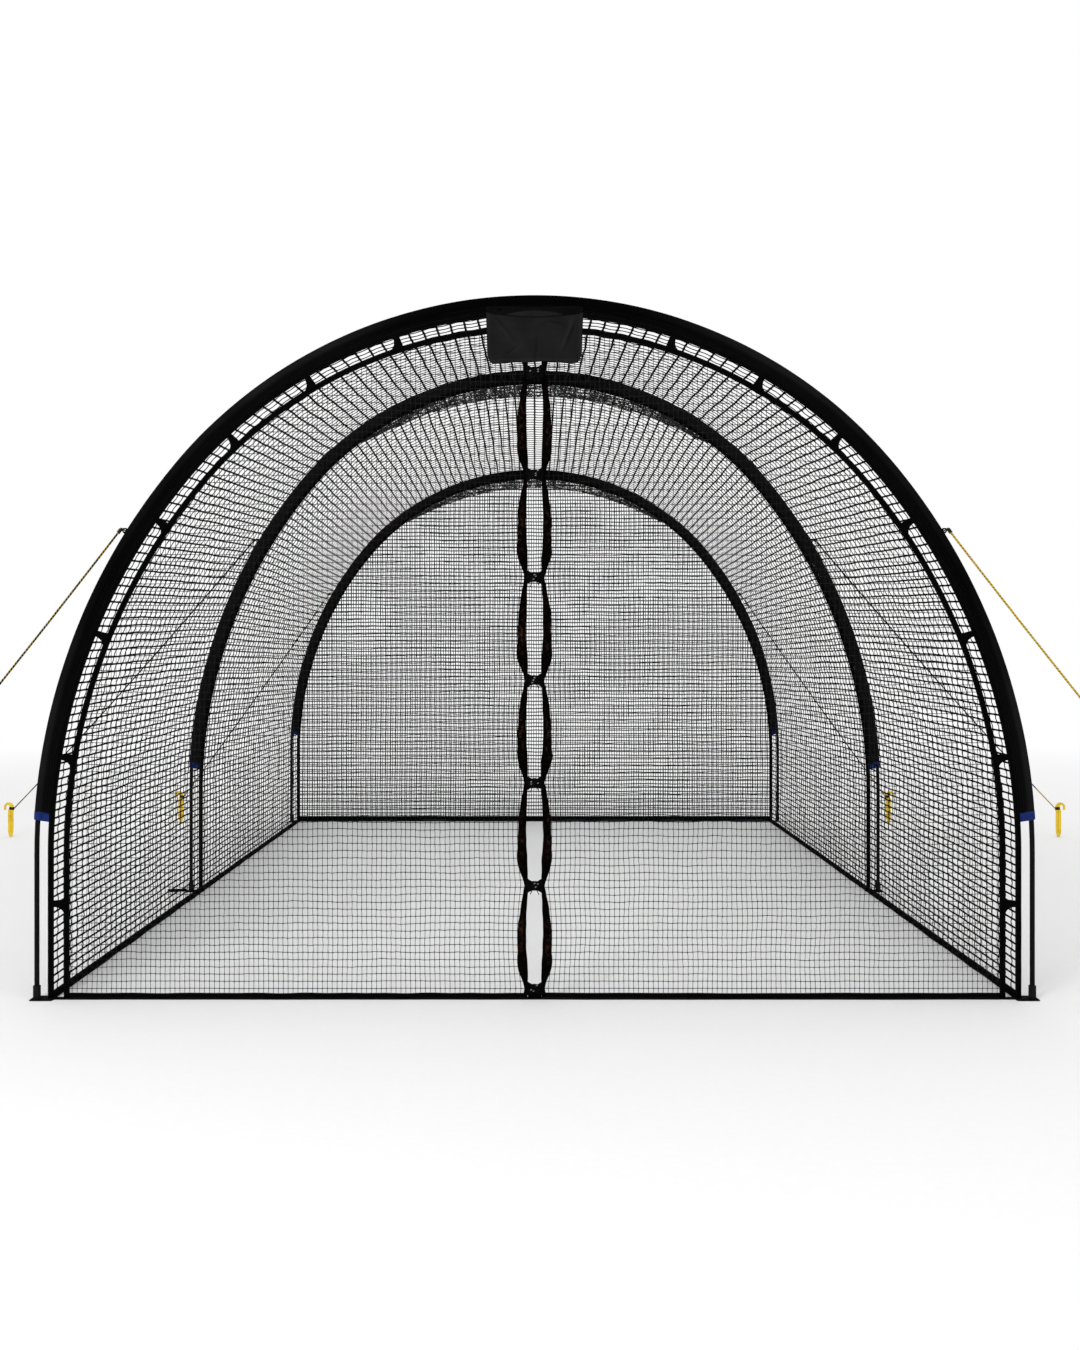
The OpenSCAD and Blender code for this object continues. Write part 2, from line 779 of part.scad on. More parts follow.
module peg_outline() {
    polygon([[-peg_tip / 2, 0], [peg_tip / 2, 0], [peg_w / 2, peg_taper], [peg_w / 2, peg_shoulder],
        [bore_x - hook_bore, hook_z], [hook_x - hook_r, hook_z], [hook_x - hook_r, peg_shoulder],
        [-peg_w / 2, peg_shoulder], [-peg_w / 2, peg_taper]]);
    difference() {
        translate([hook_x, hook_z]) circle(r = hook_r);
        translate([bore_x, hook_z]) circle(r = hook_bore);
        translate([hook_x - 2 * hook_r, hook_z - 4 * hook_r]) square(4 * hook_r);
    }
    translate([bore_x + hook_bore, hook_z - hook_lip]) square([lip_w, hook_lip]);
}

module peg(x, y) {
    translate([x, y, 0]) {
        translate([0, peg_t / 2, 0])
            rotate([90, 0, 0]) linear_extrude(peg_t) peg_outline();
        translate([-peg_rib_t / 2, -peg_rib / 2, peg_taper])
            cube([peg_rib_t, peg_rib, peg_shoulder - peg_taper]);
    }
}

// The pegs' hooks all open away from the cage
module guy_pegs() {
    color("#f0c419") both_sides() {
        peg(front_peg_x, bow_y[front]);
        peg(mid_peg_x, mid_peg_y);
        peg(rear_peg_x, bow_y[rear] - rear_peg_back);
    }
}

leg_poles(front);  // front_leg_poles
leg_poles(middle);  // mid_leg_poles
leg_poles(rear);  // rear_leg_poles
bow_poles(front);  // front_bow_poles
bow_poles(middle);  // mid_bow_poles
bow_poles(rear);  // rear_bow_poles
pole_pins(front);  // front_pole_pins
pole_pins(middle);  // mid_pole_pins
pole_pins(rear);  // rear_pole_pins
foot_caps();
sleeve(front);  // front_sleeve
sleeve(middle);  // mid_sleeve
sleeve(rear);  // rear_sleeve
sleeve_cuffs();
edge_webbing(front);  // front_edge_webbing
edge_webbing(middle);  // mid_edge_webbing
edge_webbing(rear);  // rear_edge_webbing
front_panel_band();
band_tabs();
front_net_left();
front_net_right();
door_net_left();
door_net_right();
door_band_left();
door_band_right();
slit_top_bands();
top_tie();
door_ties();
banner();
rear_net();
front_bay_net();
rear_bay_net();
crown_gather(middle);  // mid_crown_gather
crown_gather(rear);  // rear_crown_gather
cross_strap(front);  // front_ground_strap
left_ground_strap();
right_ground_strap();
cross_strap(rear);  // rear_ground_strap
corner_patches();
guy_tabs();
left_rope(front_route);  // front_left_guy_rope
right_rope(front_route);  // front_right_guy_rope
left_rope(mid_route);  // mid_left_guy_rope
right_rope(mid_route);  // mid_right_guy_rope
left_rope(rear_route);  // rear_left_guy_rope
right_rope(rear_route);  // rear_right_guy_rope
guy_pegs();
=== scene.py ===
import math
import bpy
import numpy as np
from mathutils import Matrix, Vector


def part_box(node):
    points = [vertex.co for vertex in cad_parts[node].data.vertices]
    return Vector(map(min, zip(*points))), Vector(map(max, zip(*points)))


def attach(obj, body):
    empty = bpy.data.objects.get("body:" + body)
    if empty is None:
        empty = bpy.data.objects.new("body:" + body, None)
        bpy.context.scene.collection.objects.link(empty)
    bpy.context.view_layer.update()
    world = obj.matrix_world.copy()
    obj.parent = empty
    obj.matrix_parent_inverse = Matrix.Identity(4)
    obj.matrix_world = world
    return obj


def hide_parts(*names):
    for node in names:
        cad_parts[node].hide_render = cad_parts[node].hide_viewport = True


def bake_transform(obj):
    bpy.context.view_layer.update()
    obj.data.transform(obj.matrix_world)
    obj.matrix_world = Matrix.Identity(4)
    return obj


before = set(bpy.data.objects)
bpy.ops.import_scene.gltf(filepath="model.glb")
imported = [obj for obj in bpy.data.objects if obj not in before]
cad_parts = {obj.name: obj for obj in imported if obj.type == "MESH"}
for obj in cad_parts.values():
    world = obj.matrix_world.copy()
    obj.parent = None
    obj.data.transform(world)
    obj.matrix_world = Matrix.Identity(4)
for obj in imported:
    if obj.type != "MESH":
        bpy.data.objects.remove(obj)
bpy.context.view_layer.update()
scene = bpy.context.scene
scene.view_settings.view_transform = "Standard"
print("frame loaded")


# settings of a piece: a dictionary whose entries are read as attributes
class Form(dict):
    __getattr__ = dict.__getitem__


def newObject(name, data):
    made = bpy.data.objects.new(name, data)
    scene.collection.objects.link(made)
    return made


# camera at the photograph's place, square to the front
cameraForm = Form(place=(0.0, -7.265, 1.27), lens=34.67, sensor=36, shift=(0.004, -0.017))


def makeCamera(form):
    data = bpy.data.cameras.new("camera")
    data.sensor_width = form.sensor
    data.lens = form.lens
    data.shift_x, data.shift_y = form.shift
    scene.camera = newObject("camera", data)
    scene.camera.location = form.place
    scene.camera.rotation_euler = (math.radians(90), 0, 0)


makeCamera(cameraForm)
print("camera made")

fullTurn = 2 * math.pi
upward = np.array([0.0, 0.0, 1.0])
rearward = np.array([0.0, 1.0, 0.0])
bothSides = (("left", -1), ("right", 1))
noQuads, noTris, noMap = np.zeros((0, 4), int), np.zeros((0, 3), int), np.zeros((0, 4, 2))


# a shape collects points, faces, weave places and shades, then becomes a piece
class Shape:
    def __init__(self):
        self.parts = []
        self.count = 0

    def add(self, points, quads=noQuads, tris=noTris, quadMap=noMap, shade=0.0):
        corners = points[np.concatenate([tris, quads[:, :3], quads[:, [0, 2, 3]]])] - points.mean(0)
        if np.einsum("ij,ij->", corners[:, 0], np.cross(corners[:, 1], corners[:, 2])) < 0:
            quads, tris, quadMap = quads[:, ::-1], tris[:, ::-1], quadMap[:, ::-1]
        tone = np.broadcast_to(shade, len(points)).astype(np.float32)
        self.parts.append((points, quads + self.count, tris + self.count, quadMap, tone))
        self.count += len(points)


def gridQuads(rows, cols):
    r, c = np.meshgrid(np.arange(rows), np.arange(cols), indexing="ij")
    ring = np.stack([r, r, r + 1, r + 1], -1).reshape(-1, 4)
    col = np.stack([c, c + 1, c + 1, c], -1).reshape(-1, 4)
    return ring, col


# rings is rows x cols x 3; the weave map holds metres along and metres round
def addRings(shape, rings, along, around, capped=True, shade=0.0):
    rows, cols = rings.shape[:2]
    ring, col = gridQuads(rows - 1, cols)
    fan = np.stack([np.zeros(cols - 2, int), np.arange(1, cols - 1), np.arange(2, cols)], 1)
    caps = np.concatenate([fan[:, ::-1], fan + (rows - 1) * cols]) if capped else noTris
    quadMap = np.stack([along[ring], around[col]], -1)
    shape.add(rings.reshape(-1, 3), ring * cols + col % cols, caps, quadMap, np.ravel(shade))


# closed thin sheet from two grids of points, front and back
def addSheet(shape, front, back, width, height, tone=0.0):
    rows, cols = front.shape[:2]
    ring, col = gridQuads(rows - 1, cols - 1)
    near = ring * cols + col
    far = near[:, ::-1] + rows * cols
    index = np.arange(rows * cols).reshape(rows, cols)
    rim = np.concatenate([index[0], index[1:, -1], index[-1, -2::-1], index[-2:0:-1, 0]])
    after = np.roll(rim, -1)
    edge = np.stack([after, rim, rim + rows * cols, after + rows * cols], 1)
    place = np.stack([col / (cols - 1) * width, ring / (rows - 1) * height], -1)
    quadMap = np.concatenate([place, place[:, ::-1], np.zeros(edge.shape + (2,))])
    shade = np.tile(np.broadcast_to(tone, (rows, cols)).ravel(), 2)
    points = np.concatenate([front.reshape(-1, 3), back.reshape(-1, 3)])
    shape.add(points, np.concatenate([near, far, edge]), noTris, quadMap, shade)


def unit(v):
    return v / np.maximum(np.linalg.norm(v, axis=-1, keepdims=True), 1e-12)


def tangents(path):
    step = np.empty_like(path)
    step[1:-1] = path[2:] - path[:-2]
    step[0] = path[1] - path[0]
    step[-1] = path[-1] - path[-2]
    return unit(step)


def lengths(path):
    return np.concatenate([[0], np.cumsum(np.linalg.norm(np.diff(path, axis=0), axis=1))])


def outlineRun(outline):
    return lengths(np.concatenate([outline, outline[:1]]))


def evenRuns(low, high, step):
    return np.linspace(low, high, max(2, int(round((high - low) / step)) + 1))


def pathAt(points, run, wanted):
    return np.stack([np.interp(wanted, run, points[:, k]) for k in range(3)], 1)


def finePath(points, step):
    run = lengths(points)
    return pathAt(points, run, np.linspace(0, run[-1], int(run[-1] / step) + 1))


def ramp(value):
    return np.clip(value, 0, 1)


def between(a, b, share):
    return a + (b - a) * share


def bell(value, at, wide):
    return np.exp(-((value - at) / wide) ** 2)


def chord(radius, off):
    return np.sqrt(np.maximum(radius ** 2 - off ** 2, 0))


# rings round a path, with corners at these angles from the plane of the normal
def roundRings(path, radius, angle, normal):
    along = tangents(path)
    across = unit(np.cross(along, normal))
    up = np.cross(across, along)
    cos, sin = np.cos(angle)[:, None], np.sin(angle)[:, None]
    return path[:, None, :] + radius[..., None] * (cos * across[:, None, :] + sin * up[:, None, :])


# round cord along a path, lying in a sheet with that normal
def addCord(shape, path, radius, sides=3, normal=rearward, shade=0.0):
    radius = np.broadcast_to(radius, len(path))
    angle = np.arange(sides) * fullTurn / sides + math.pi / 2
    around = np.arange(sides + 1) / sides * fullTurn * float(radius.mean())
    tone = np.broadcast_to(np.reshape(shade, (-1, 1)), (len(path), sides))
    addRings(shape, roundRings(path, radius[:, None], angle, normal), lengths(path), around, shade=tone)


# thread stitches: long flat crystals laid along a seam
def addStitches(shape, places, along, out, size=(0.0032, 0.0007, 0.0006)):
    along, out = np.broadcast_to(along, places.shape), np.broadcast_to(out, places.shape)
    reach, side, lift = along * size[0], np.cross(along, out) * size[1], out * size[2]
    points = np.stack([places + corner for corner in (reach, side, -reach, -side, lift, -lift)], 1)
    base = np.array([(0, 1, 4), (1, 2, 4), (2, 3, 4), (3, 0, 4), (1, 0, 5), (2, 1, 5), (3, 2, 5), (0, 3, 5)])
    tris = (base + 6 * np.arange(len(places))[:, None, None]).reshape(-1, 3)
    shape.add(points.reshape(-1, 3), noQuads, tris)


# bake map: every face gets a little cell of its own, in the order it was made
def bakeMap(faceCount):
    side = max(1, math.ceil(math.sqrt(faceCount)))
    cell = np.arange(faceCount)
    low = np.stack([cell % side, cell // side], 1)[:, None, :] / side
    return low + np.array([[0.1, 0.1], [0.9, 0.1], [0.9, 0.9], [0.1, 0.9]]) / side


def makePiece(name, shape, material, replaces=(), body="cage", smooth=True, ownMap=False):
    points, quads, tris, quadMap, shades = (np.concatenate(part) for part in zip(*shape.parts))
    mesh = bpy.data.meshes.new(name)
    mesh.from_pydata(points.tolist(), [], quads.tolist() + tris.tolist(), shade_flat=not smooth)
    maps = {"weave": (quadMap, np.zeros(2 * tris.size))}
    if ownMap:
        cells = bakeMap(len(quads) + len(tris))
        maps["OFBake"] = (cells[:len(quads)], cells[len(quads):, :3])
    for mapName, places in maps.items():
        flat = np.concatenate([part.ravel() for part in places]).astype(np.float32)
        mesh.uv_layers.new(name=mapName).uv.foreach_set("vector", flat)
    if shades.any():
        mesh.attributes.new("shade", "FLOAT", "POINT").data.foreach_set("value", shades)
    mesh.materials.append(material)
    piece = newObject(name, mesh)
    if body:
        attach(piece, body)
    if replaces:
        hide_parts(*replaces)
    return piece


# a sewn piece: its cloth, and its thread as a piece of its own
class Sewn:
    def __init__(self):
        self.cloth, self.seams = Shape(), Shape()

    def make(self, name, seamName, material, slot, replaces=(), body="cage"):
        return (makePiece(name, self.cloth, material, replaces, body),
                makePiece(seamName, self.seams, seamThread, (), body, smooth=False))


# soft waves of a few random directions, from -1 to 1
def softNoise(seed, size, count=5):
    rng = np.random.default_rng(seed)
    waves = rng.normal(size=(count, 2)) * fullTurn / size
    phase = rng.uniform(0, fullTurn, count)
    return lambda a, b: sum(np.sin(w[0] * a + w[1] * b + p) for w, p in zip(waves, phase)) / count * 1.6


def fillNode(tree, node, sources, values):
    for key, source in sources.items():
        tree.links.new(source, node.inputs[key])
    for key, value in values.items():
        node.inputs[key].default_value = value


def addNode(tree, kind, sources={}, values={}):
    node = tree.nodes.new("ShaderNode" + kind)
    fillNode(tree, node, sources, values)
    return node


# warp and weft ridges on the weave map
def weaveHeight(tree, pitch, weft):
    place = addNode(tree, "UVMap")
    place.uv_map = "weave"
    ridges = addNode(tree, "Math")
    ridges.operation = "MAXIMUM"
    for k, (direction, step) in enumerate((("X", pitch), ("Y", pitch * weft))):
        wave = addNode(tree, "TexWave", {"Vector": place.outputs["UV"]},
                       {"Scale": 0.31416 / step, "Distortion": 0.6})
        wave.bands_direction = direction
        tree.links.new(wave.outputs["Fac"], ridges.inputs[k])
    return ridges.outputs["Value"]


# second colour where the piece's shade is 1
def addShade(tree, colour, second):
    shade = addNode(tree, "Attribute")
    shade.attribute_name = "shade"
    mix = addNode(tree, "Mix")
    mix.data_type = "RGBA"
    fillNode(tree, mix, {"Factor": shade.outputs["Fac"], 6: colour}, {7: second})
    return mix.outputs[2]


# a finish with uneven colour and roughness: woven where it has a pitch, else with fine unevenness;
# its colours are greys, or red, green and blue
def finish(name, dark, light, rough, shine, patch, bump=0.1, pitch=None, weft=1.0, low=0.35, high=0.7,
           spread=0.1, metallic=0.0, stretch=(1, 1, 1), shade=None):
    material = bpy.data.materials.new(name)
    material.use_nodes = True
    tree = material.node_tree
    place = addNode(tree, "TexCoord").outputs["Object"]
    place = addNode(tree, "Mapping", {"Vector": place}, {"Scale": stretch}).outputs["Vector"]
    detail = 6.0 if pitch else 4.0
    noise = addNode(tree, "TexNoise", {"Vector": place}, {"Scale": patch, "Detail": detail}).outputs["Fac"]
    height, reliefDeep = noise, 0.0005
    if pitch:
        height, reliefDeep, spread = weaveHeight(tree, pitch, weft), 0.0004, 0.08
    tint = addNode(tree, "ValToRGB", {"Fac": noise})
    first, last = tint.color_ramp.elements
    first.position, last.position = low, high
    first.color, last.color = (*np.broadcast_to(dark, 3), 1), (*np.broadcast_to(light, 3), 1)
    colour = tint.outputs["Color"]
    if shade:
        colour = addShade(tree, colour, (*np.broadcast_to(shade, 3), 1))
    uneven = addNode(tree, "MapRange", {"Value": noise},
                     {"To Min": max(0.05, rough - spread), "To Max": min(1.0, rough + spread)})
    relief = addNode(tree, "Bump", {"Height": height}, {"Strength": bump, "Distance": reliefDeep})
    sources = {"Base Color": colour, "Roughness": uneven.outputs["Result"],
               "Normal": relief.outputs["Normal"]}
    fillNode(tree, tree.nodes["Principled BSDF"], sources,
             {"Specular IOR Level": shine, "Metallic": metallic})
    return material


# the sleeves' second colour, near black, is painted shade
sleeveCloth = finish("sleeveCloth", 0.0058, 0.0098, rough=0.66, shine=0.008, patch=6.0, bump=0.4,
                     pitch=0.0016, shade=0.0006)
blackWebbing = finish("blackWebbing", 0.0008, 0.0018, rough=0.85, shine=0.015, patch=30.0, bump=0.6,
                      pitch=0.0022, weft=2.5)
strapWebbing = finish("strapWebbing", 0.0012, 0.0036, rough=0.85, shine=0.02, patch=22.0, bump=0.6,
                      pitch=0.0022, weft=2.5)
seamThread = finish("seamThread", 0.006, 0.013, rough=0.6, shine=0.1, patch=300.0)
netCord = finish("netCord", 0.004, 0.011, rough=0.7, shine=0.06, patch=60.0)
tunnelCord = finish("tunnelCord", 0.0012, 0.0032, rough=0.8, shine=0.02, patch=60.0)
rearCord = finish("rearCord", (0.012, 0.015, 0.016), (0.030, 0.037, 0.040), rough=0.7, shine=0.06,
                  patch=60.0)
gatherCord = finish("gatherCord", 0.004, 0.09, rough=0.7, shine=0.1, patch=55.0)
# the door tape's second colour, near black, is painted shade
doorTape = finish("doorTape", (0.0008, 0.0006, 0.0005), (0.040, 0.016, 0.0085), rough=0.8, shine=0.010,
                  patch=80.0, bump=0.6, pitch=0.0018, low=0.50, high=0.74, shade=(0.0006, 0.0005, 0.0005))
# the tie cord's second colour, light grey, is a painted glint
tieCord = finish("tieCord", 0.0006, 0.0016, rough=0.3, shine=0.025, patch=200.0, bump=0.25, shade=0.26)
# the banner's second colour, near black, is painted shade
bannerCloth = finish("bannerCloth", 0.0125, 0.0175, rough=0.55, shine=0.03, patch=14.0, bump=0.35,
                     pitch=0.0011, shade=0.0007)
bannerPipe = finish("bannerPipe", 0.0012, 0.004, rough=0.6, shine=0.04, patch=300.0, bump=0.3)
cuffBinding = finish("cuffBinding", (0.004, 0.011, 0.075), (0.009, 0.024, 0.14), rough=0.7, shine=0.1,
                     patch=40.0, bump=0.5, pitch=0.0014)
poleSatin = finish("poleSatin", 0.0014, 0.004, rough=0.36, shine=0.06, patch=18.0, bump=0.08,
                   stretch=(6, 6, 0.6))
pinSteel = finish("pinSteel", (0.42, 0.43, 0.45), (0.6, 0.61, 0.63), rough=0.32, shine=0.5, patch=80.0,
                  metallic=1.0)
capRubber = finish("capRubber", 0.003, 0.009, rough=0.75, shine=0.1, patch=90.0, bump=0.3)
guyRope = finish("guyRope", (0.42, 0.27, 0.008), (0.66, 0.44, 0.015), rough=0.6, shine=0.1, patch=260.0,
                 bump=0.3, shade=(0.004, 0.003, 0.001))
knotCord = finish("knotCord", (0.004, 0.003, 0.002), (0.03, 0.02, 0.006), rough=0.6, shine=0.15,
                  patch=200.0, bump=0.3)
pegPlastic = finish("pegPlastic", (0.66, 0.44, 0.012), (0.84, 0.60, 0.022), rough=0.38, shine=0.3,
                    patch=22.0, bump=0.12)
print("materials made")

# the three bows, read from the frame: straight leg, side curve, crown curve
bowForm = Form(springZ=0.530, turn=math.radians(40), poleR=0.009)


def readBow(name):
    spring, turn, poleR = bowForm.springZ, bowForm.turn, bowForm.poleR
    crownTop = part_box(name + "_bow_poles")[1].z - poleR
    legLow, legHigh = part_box(name + "_leg_poles")
    halfW = legHigh.x - poleR
    step = (crownTop - spring - halfW) / (math.sin(turn) + math.cos(turn) - 1)
    sideR = halfW + step * math.cos(turn)
    crownR = sideR - step
    crownArc, sideArc = crownR * (math.pi / 2 - turn), sideR * turn
    return Form(name=name, y=(legLow.y + legHigh.y) / 2, halfW=halfW, sideR=sideR, crownR=crownR,
                sideX=halfW - sideR, crownZ=spring + step * math.sin(turn), crownArc=crownArc,
                sideArc=sideArc, half=crownArc + sideArc + spring)


bows = [readBow(name) for name in ("front", "mid", "rear")]
frontBow, midBow, rearBow = bows
bays = ((frontBow, midBow), (midBow, rearBow))
bowSides = [(bow, side) for bow in bows for side in (-1, 1)]


# place on a bow: run is the length from the crown, + to the right; inside is inwards from the pole line
def bowPlace(bow, run, inside, forward=0.0):
    run, inside, forward = np.broadcast_arrays(np.asarray(run, float), inside, forward)
    size = np.abs(run)
    onCrown = size <= bow.crownArc
    sideAngle = np.maximum(bowForm.turn - (size - bow.crownArc) / bow.sideR, 0)
    angle = np.where(onCrown, math.pi / 2 - size / bow.crownR, sideAngle)
    radius = np.where(onCrown, bow.crownR, bow.sideR) - inside
    x = np.where(onCrown, 0.0, bow.sideX) + radius * np.cos(angle)
    z = np.where(onCrown, bow.crownZ, bowForm.springZ) + radius * np.sin(angle)
    z = np.where(size > bow.crownArc + bow.sideArc, bow.half - size, z)
    return np.stack([np.where(run < 0, -x, x), bow.y - forward, z], -1)


def runAtAngle(bow, angle):
    if angle >= bowForm.turn:
        return (math.pi / 2 - angle) * bow.crownR
    return bow.crownArc + (bowForm.turn - angle) * bow.sideR


def runAtHeight(bow, z):
    if z <= bowForm.springZ:
        return bow.half - z
    return runAtAngle(bow, math.asin((z - bowForm.springZ) / bow.sideR))


def widthAt(bow, z, inside):
    sideR, crownR = bow.sideR - inside, bow.crownR - inside
    onSide = bow.sideX + chord(sideR, np.maximum(z - bowForm.springZ, 0))
    turnZ = bowForm.springZ + sideR * math.sin(bowForm.turn)
    return np.where(z <= turnZ, onSide, chord(crownR, z - bow.crownZ))


def heightAt(bow, x, inside):
    x = np.abs(x)
    sideR, crownR = bow.sideR - inside, bow.crownR - inside
    onSide = bowForm.springZ + chord(sideR, x - bow.sideX)
    return np.where(x <= crownR * math.cos(bowForm.turn), bow.crownZ + chord(crownR, x), onSide)


# the tapes on a bow, inwards from the pole line
webbing = Form(near=0.0402, far=0.0622, mid=(0.0402 + 0.0622) / 2, thick=0.004)
band = Form(near=0.0982, far=0.1202, mid=(0.0982 + 0.1202) / 2, thick=0.003)
print("bows read")

# guy ropes: three strands laid round each other, along the right side's route and its mirror image
ropeForm = Form(diameter=0.008, lay=0.013, step=0.0032, sides=9, groove=0.14, change=0.895, fade=0.015)
# share of dark strand at the bow and at the peg, left and right; part of it is painted shade: the ropes in
# shade and the lengths behind the nets get more dark strand, the lit ones more gold
ropeDarkAndShade = Form(front=((0.80, 0.75), (0.22, 0.22)), mid=((1.0, 0.75), (1.0, 0.15)),
                rear=((1.0, 0.70), (1.0, 0.50)))
ropeX = Form(
    front=(1.514, 1.602, 1.690, 1.778, 1.866, 1.954, 2.042, 2.130, 2.218, 2.306, 2.394, 2.482, 2.570,
           2.658, 2.7475),
    mid=(1.484, 1.634, 1.7835, 1.933, 2.0825, 2.232, 2.3815, 2.531, 2.6805, 2.830, 2.9795, 3.129, 3.2785,
         3.428, 3.5775),
    rear=(1.5385, 1.615, 1.691, 1.768, 1.844, 1.920, 1.997, 2.073, 2.149, 2.226, 2.302, 2.378, 2.455,
          2.531, 2.6073))
ropeY = Form(front=(-2.5, -2.5), mid=(-0.36, 1.67), rear=(2.5, 2.4))
ropeZ = Form(
    front=(1.723, 1.609, 1.496, 1.383, 1.272, 1.161, 1.050, 0.941, 0.832, 0.724, 0.617, 0.510, 0.404,
           0.299, 0.195),
    mid=(1.8695, 1.744, 1.619, 1.495, 1.372, 1.250, 1.129, 1.008, 0.889, 0.771, 0.654, 0.538, 0.422,
         0.308, 0.195),
    rear=(1.715, 1.603, 1.491, 1.380, 1.269, 1.159, 1.050, 0.941, 0.833, 0.725, 0.618, 0.511, 0.405,
          0.300, 0.195))


def ropePoints(name, side):
    x = side * np.array(ropeX[name])
    return np.stack([x, np.round(np.linspace(*ropeY[name], len(x)), 3), ropeZ[name]], 1)


def addRope(shape, points, dark, form):
    path = finePath(points, form.step)
    run = lengths(path)
    angle = np.arange(form.sides) * fullTurn / form.sides
    strand = angle - fullTurn * run[:, None] / form.lay
    radius = form.diameter / 2 * (1 - form.groove * (1 - np.abs(np.cos(1.5 * strand))))
    around = np.arange(form.sides + 1) / form.sides * math.pi * form.diameter
    # the dark share changes near the peg, as painted shade: dark behind the nets, more gold where the rope
    # is lit outside
    share = between(*dark, ramp((run / run[-1] - form.change) / form.fade))
    isDark = (strand + math.pi / 3) % fullTurn < fullTurn * share[:, None]
    addRings(shape, roundRings(path, radius, angle, upward), run, around, shade=isDark)


for bow in bows:
    for (sideName, side), dark in zip(bothSides, ropeDarkAndShade[bow.name]):
        points = ropePoints(bow.name, side)
        ropeShape = Shape()
        addRope(ropeShape, points, dark, ropeForm)
        rope = makePiece(f"{bow.name}{sideName.capitalize()}Rope", ropeShape, guyRope,
                         [f"{bow.name}_{sideName}_guy_rope"], ownMap=True)
        float(lengths(points)[-1])
print("guy ropes made")

# pole sleeves: a cloth tunnel round the pole that thins into a flat skirt, with two thread rows
sleeveForm = Form(cuffZ=0.688, outer=0.0126, step=0.014, pucker=0.0011, sag=0.0006, puff=0.07, sway=0.0005,
                  slantLong=0.08, seed=11, stitch=0.0095, rows=((0.0255, 0.0032), (0.0365, 0.0021)))
sleeveFace = [(0.040, 0.0016), (0.034, 0.0019), (0.028, 0.0024), (0.022, 0.0042), (0.015, 0.0078),
              (0.008, 0.0108), (0.0, 0.0123), (-0.006, 0.0112), (-0.0105, 0.0072), (-0.0126, 0.0028)]
sleeveOutline = np.array(sleeveFace + [(a, -b) for a, b in reversed(sleeveFace)])
cuffForm = Form(topZ=0.690, height=0.033, slant=0.14, proud=0.0012, rings=9, centre=(0.012, 0.0),
                pleat=0.0004)


def addBowSweep(shape, bow, runs, outline, wobble, tone=None):
    run = runs[:, None] + 0 * outline[:, 0]
    inside, forward = outline[:, 0] + 0 * run, outline[:, 1] + 0 * run
    shade = tone(run, inside) if tone else 0.0
    inside, forward, run = wobble(run, inside, forward)
    addRings(shape, bowPlace(bow, run, inside, forward), runs, outlineRun(outline), shade=shade)


# a thread row on both faces of a bow's cloth
def addBowSeam(shape, bow, runs, inside, lift):
    for face in (1, -1):
        places = bowPlace(bow, runs, inside, face * lift)
        ahead = bowPlace(bow, runs + 0.001, inside, face * lift)
        addStitches(shape, places, unit(ahead - places), -face * rearward)


# painted shade on the front sleeve: black at the crown and, as shade, on the flat skirt; paler in long
# patches on the sides and near the feet, a painted sheen where the outer face catches the light
def frontPaintedShade(run, inside):
    size = np.abs(run)
    # pale is painted sheen: paler patches along the lit outer face
    pale = bell(size, 0.95, 0.38) + 0.4 * bell(size, 1.65, 0.4) + ramp((size - 2.0) / 0.5)
    return 1 - ramp(pale) * (0.22 + 0.78 * ramp((0.017 - inside) / 0.006))


# painted shade on the other sleeves: a dark lens at the crown
def innerPaintedShade(run, inside):
    lens = 0.062 * (1 - (run / 0.48) ** 2) - 0.014
    return ramp((lens - inside) / 0.006)


def sleeveWobble(form, seed, end):
    broad, fine, full = softNoise(seed, 0.45), softNoise(seed + 1, 0.07), softNoise(seed + 2, 0.2)

    def wobble(run, inside, forward):
        loose = ramp((inside + 0.004) / 0.03)
        shift = form.pucker * loose * fine(run, inside * 3) + form.sag * broad(run, inside)
        puff = 1 + form.puff * (1 - loose) * full(run, inside)
        nearEnd = ramp((np.abs(run) - end + form.slantLong) / form.slantLong)
        slant = cuffForm.slant * (inside + form.outer) * nearEnd
        return inside + form.sway * broad(run, forward), forward * puff + shift, run + np.sign(run) * slant
    return wobble


for index, bow in enumerate(bows):
    end = runAtHeight(bow, sleeveForm.cuffZ)
    sleeve = Sewn()
    wobble = sleeveWobble(sleeveForm, sleeveForm.seed + 10 * index, end)
    addBowSweep(sleeve.cloth, bow, evenRuns(-end, end, sleeveForm.step), sleeveOutline, wobble,
                innerPaintedShade if index else frontPaintedShade)
    for inside, lift in sleeveForm.rows:
        addBowSeam(sleeve.seams, bow, evenRuns(-end, end, sleeveForm.stitch), inside, lift)
    sleeve.make(f"{bow.name}SleeveCloth", f"{bow.name}SleeveSeams", sleeveCloth, "sleeve_fabric",
                [f"{bow.name}_sleeve"])
print("sleeves made")


# blue cuffs: bound sleeve ends, cut on a slant that is lower inside
def addCuff(shape, bow, side, form):
    top = runAtHeight(bow, form.topZ)
    swell = unit(sleeveOutline - np.array(form.centre))
    shares = ramp((np.arange(form.rings + 2) - 1) / (form.rings - 1))
    rings = []
    for k, share in enumerate(shares):
        roll = 0.55 + 0.45 * math.sin(math.pi * share) if 0 < k <= form.rings else -1
        inside, forward = (sleeveOutline + swell * (form.proud * roll)).T
        run = top + form.height * share + form.slant * (inside + sleeveForm.outer)
        pleat = form.pleat * np.sin(inside * 900 + share * 2)
        rings.append(bowPlace(bow, side * run, inside, forward + pleat))
    addRings(shape, np.array(rings), form.height * shares, outlineRun(sleeveOutline))


cuffs = Shape()
for bow, side in bowSides:
    addCuff(cuffs, bow, side, cuffForm)
makePiece("cuffBindings", cuffs, cuffBinding, ["sleeve_cuffs"])
print("cuffs made")

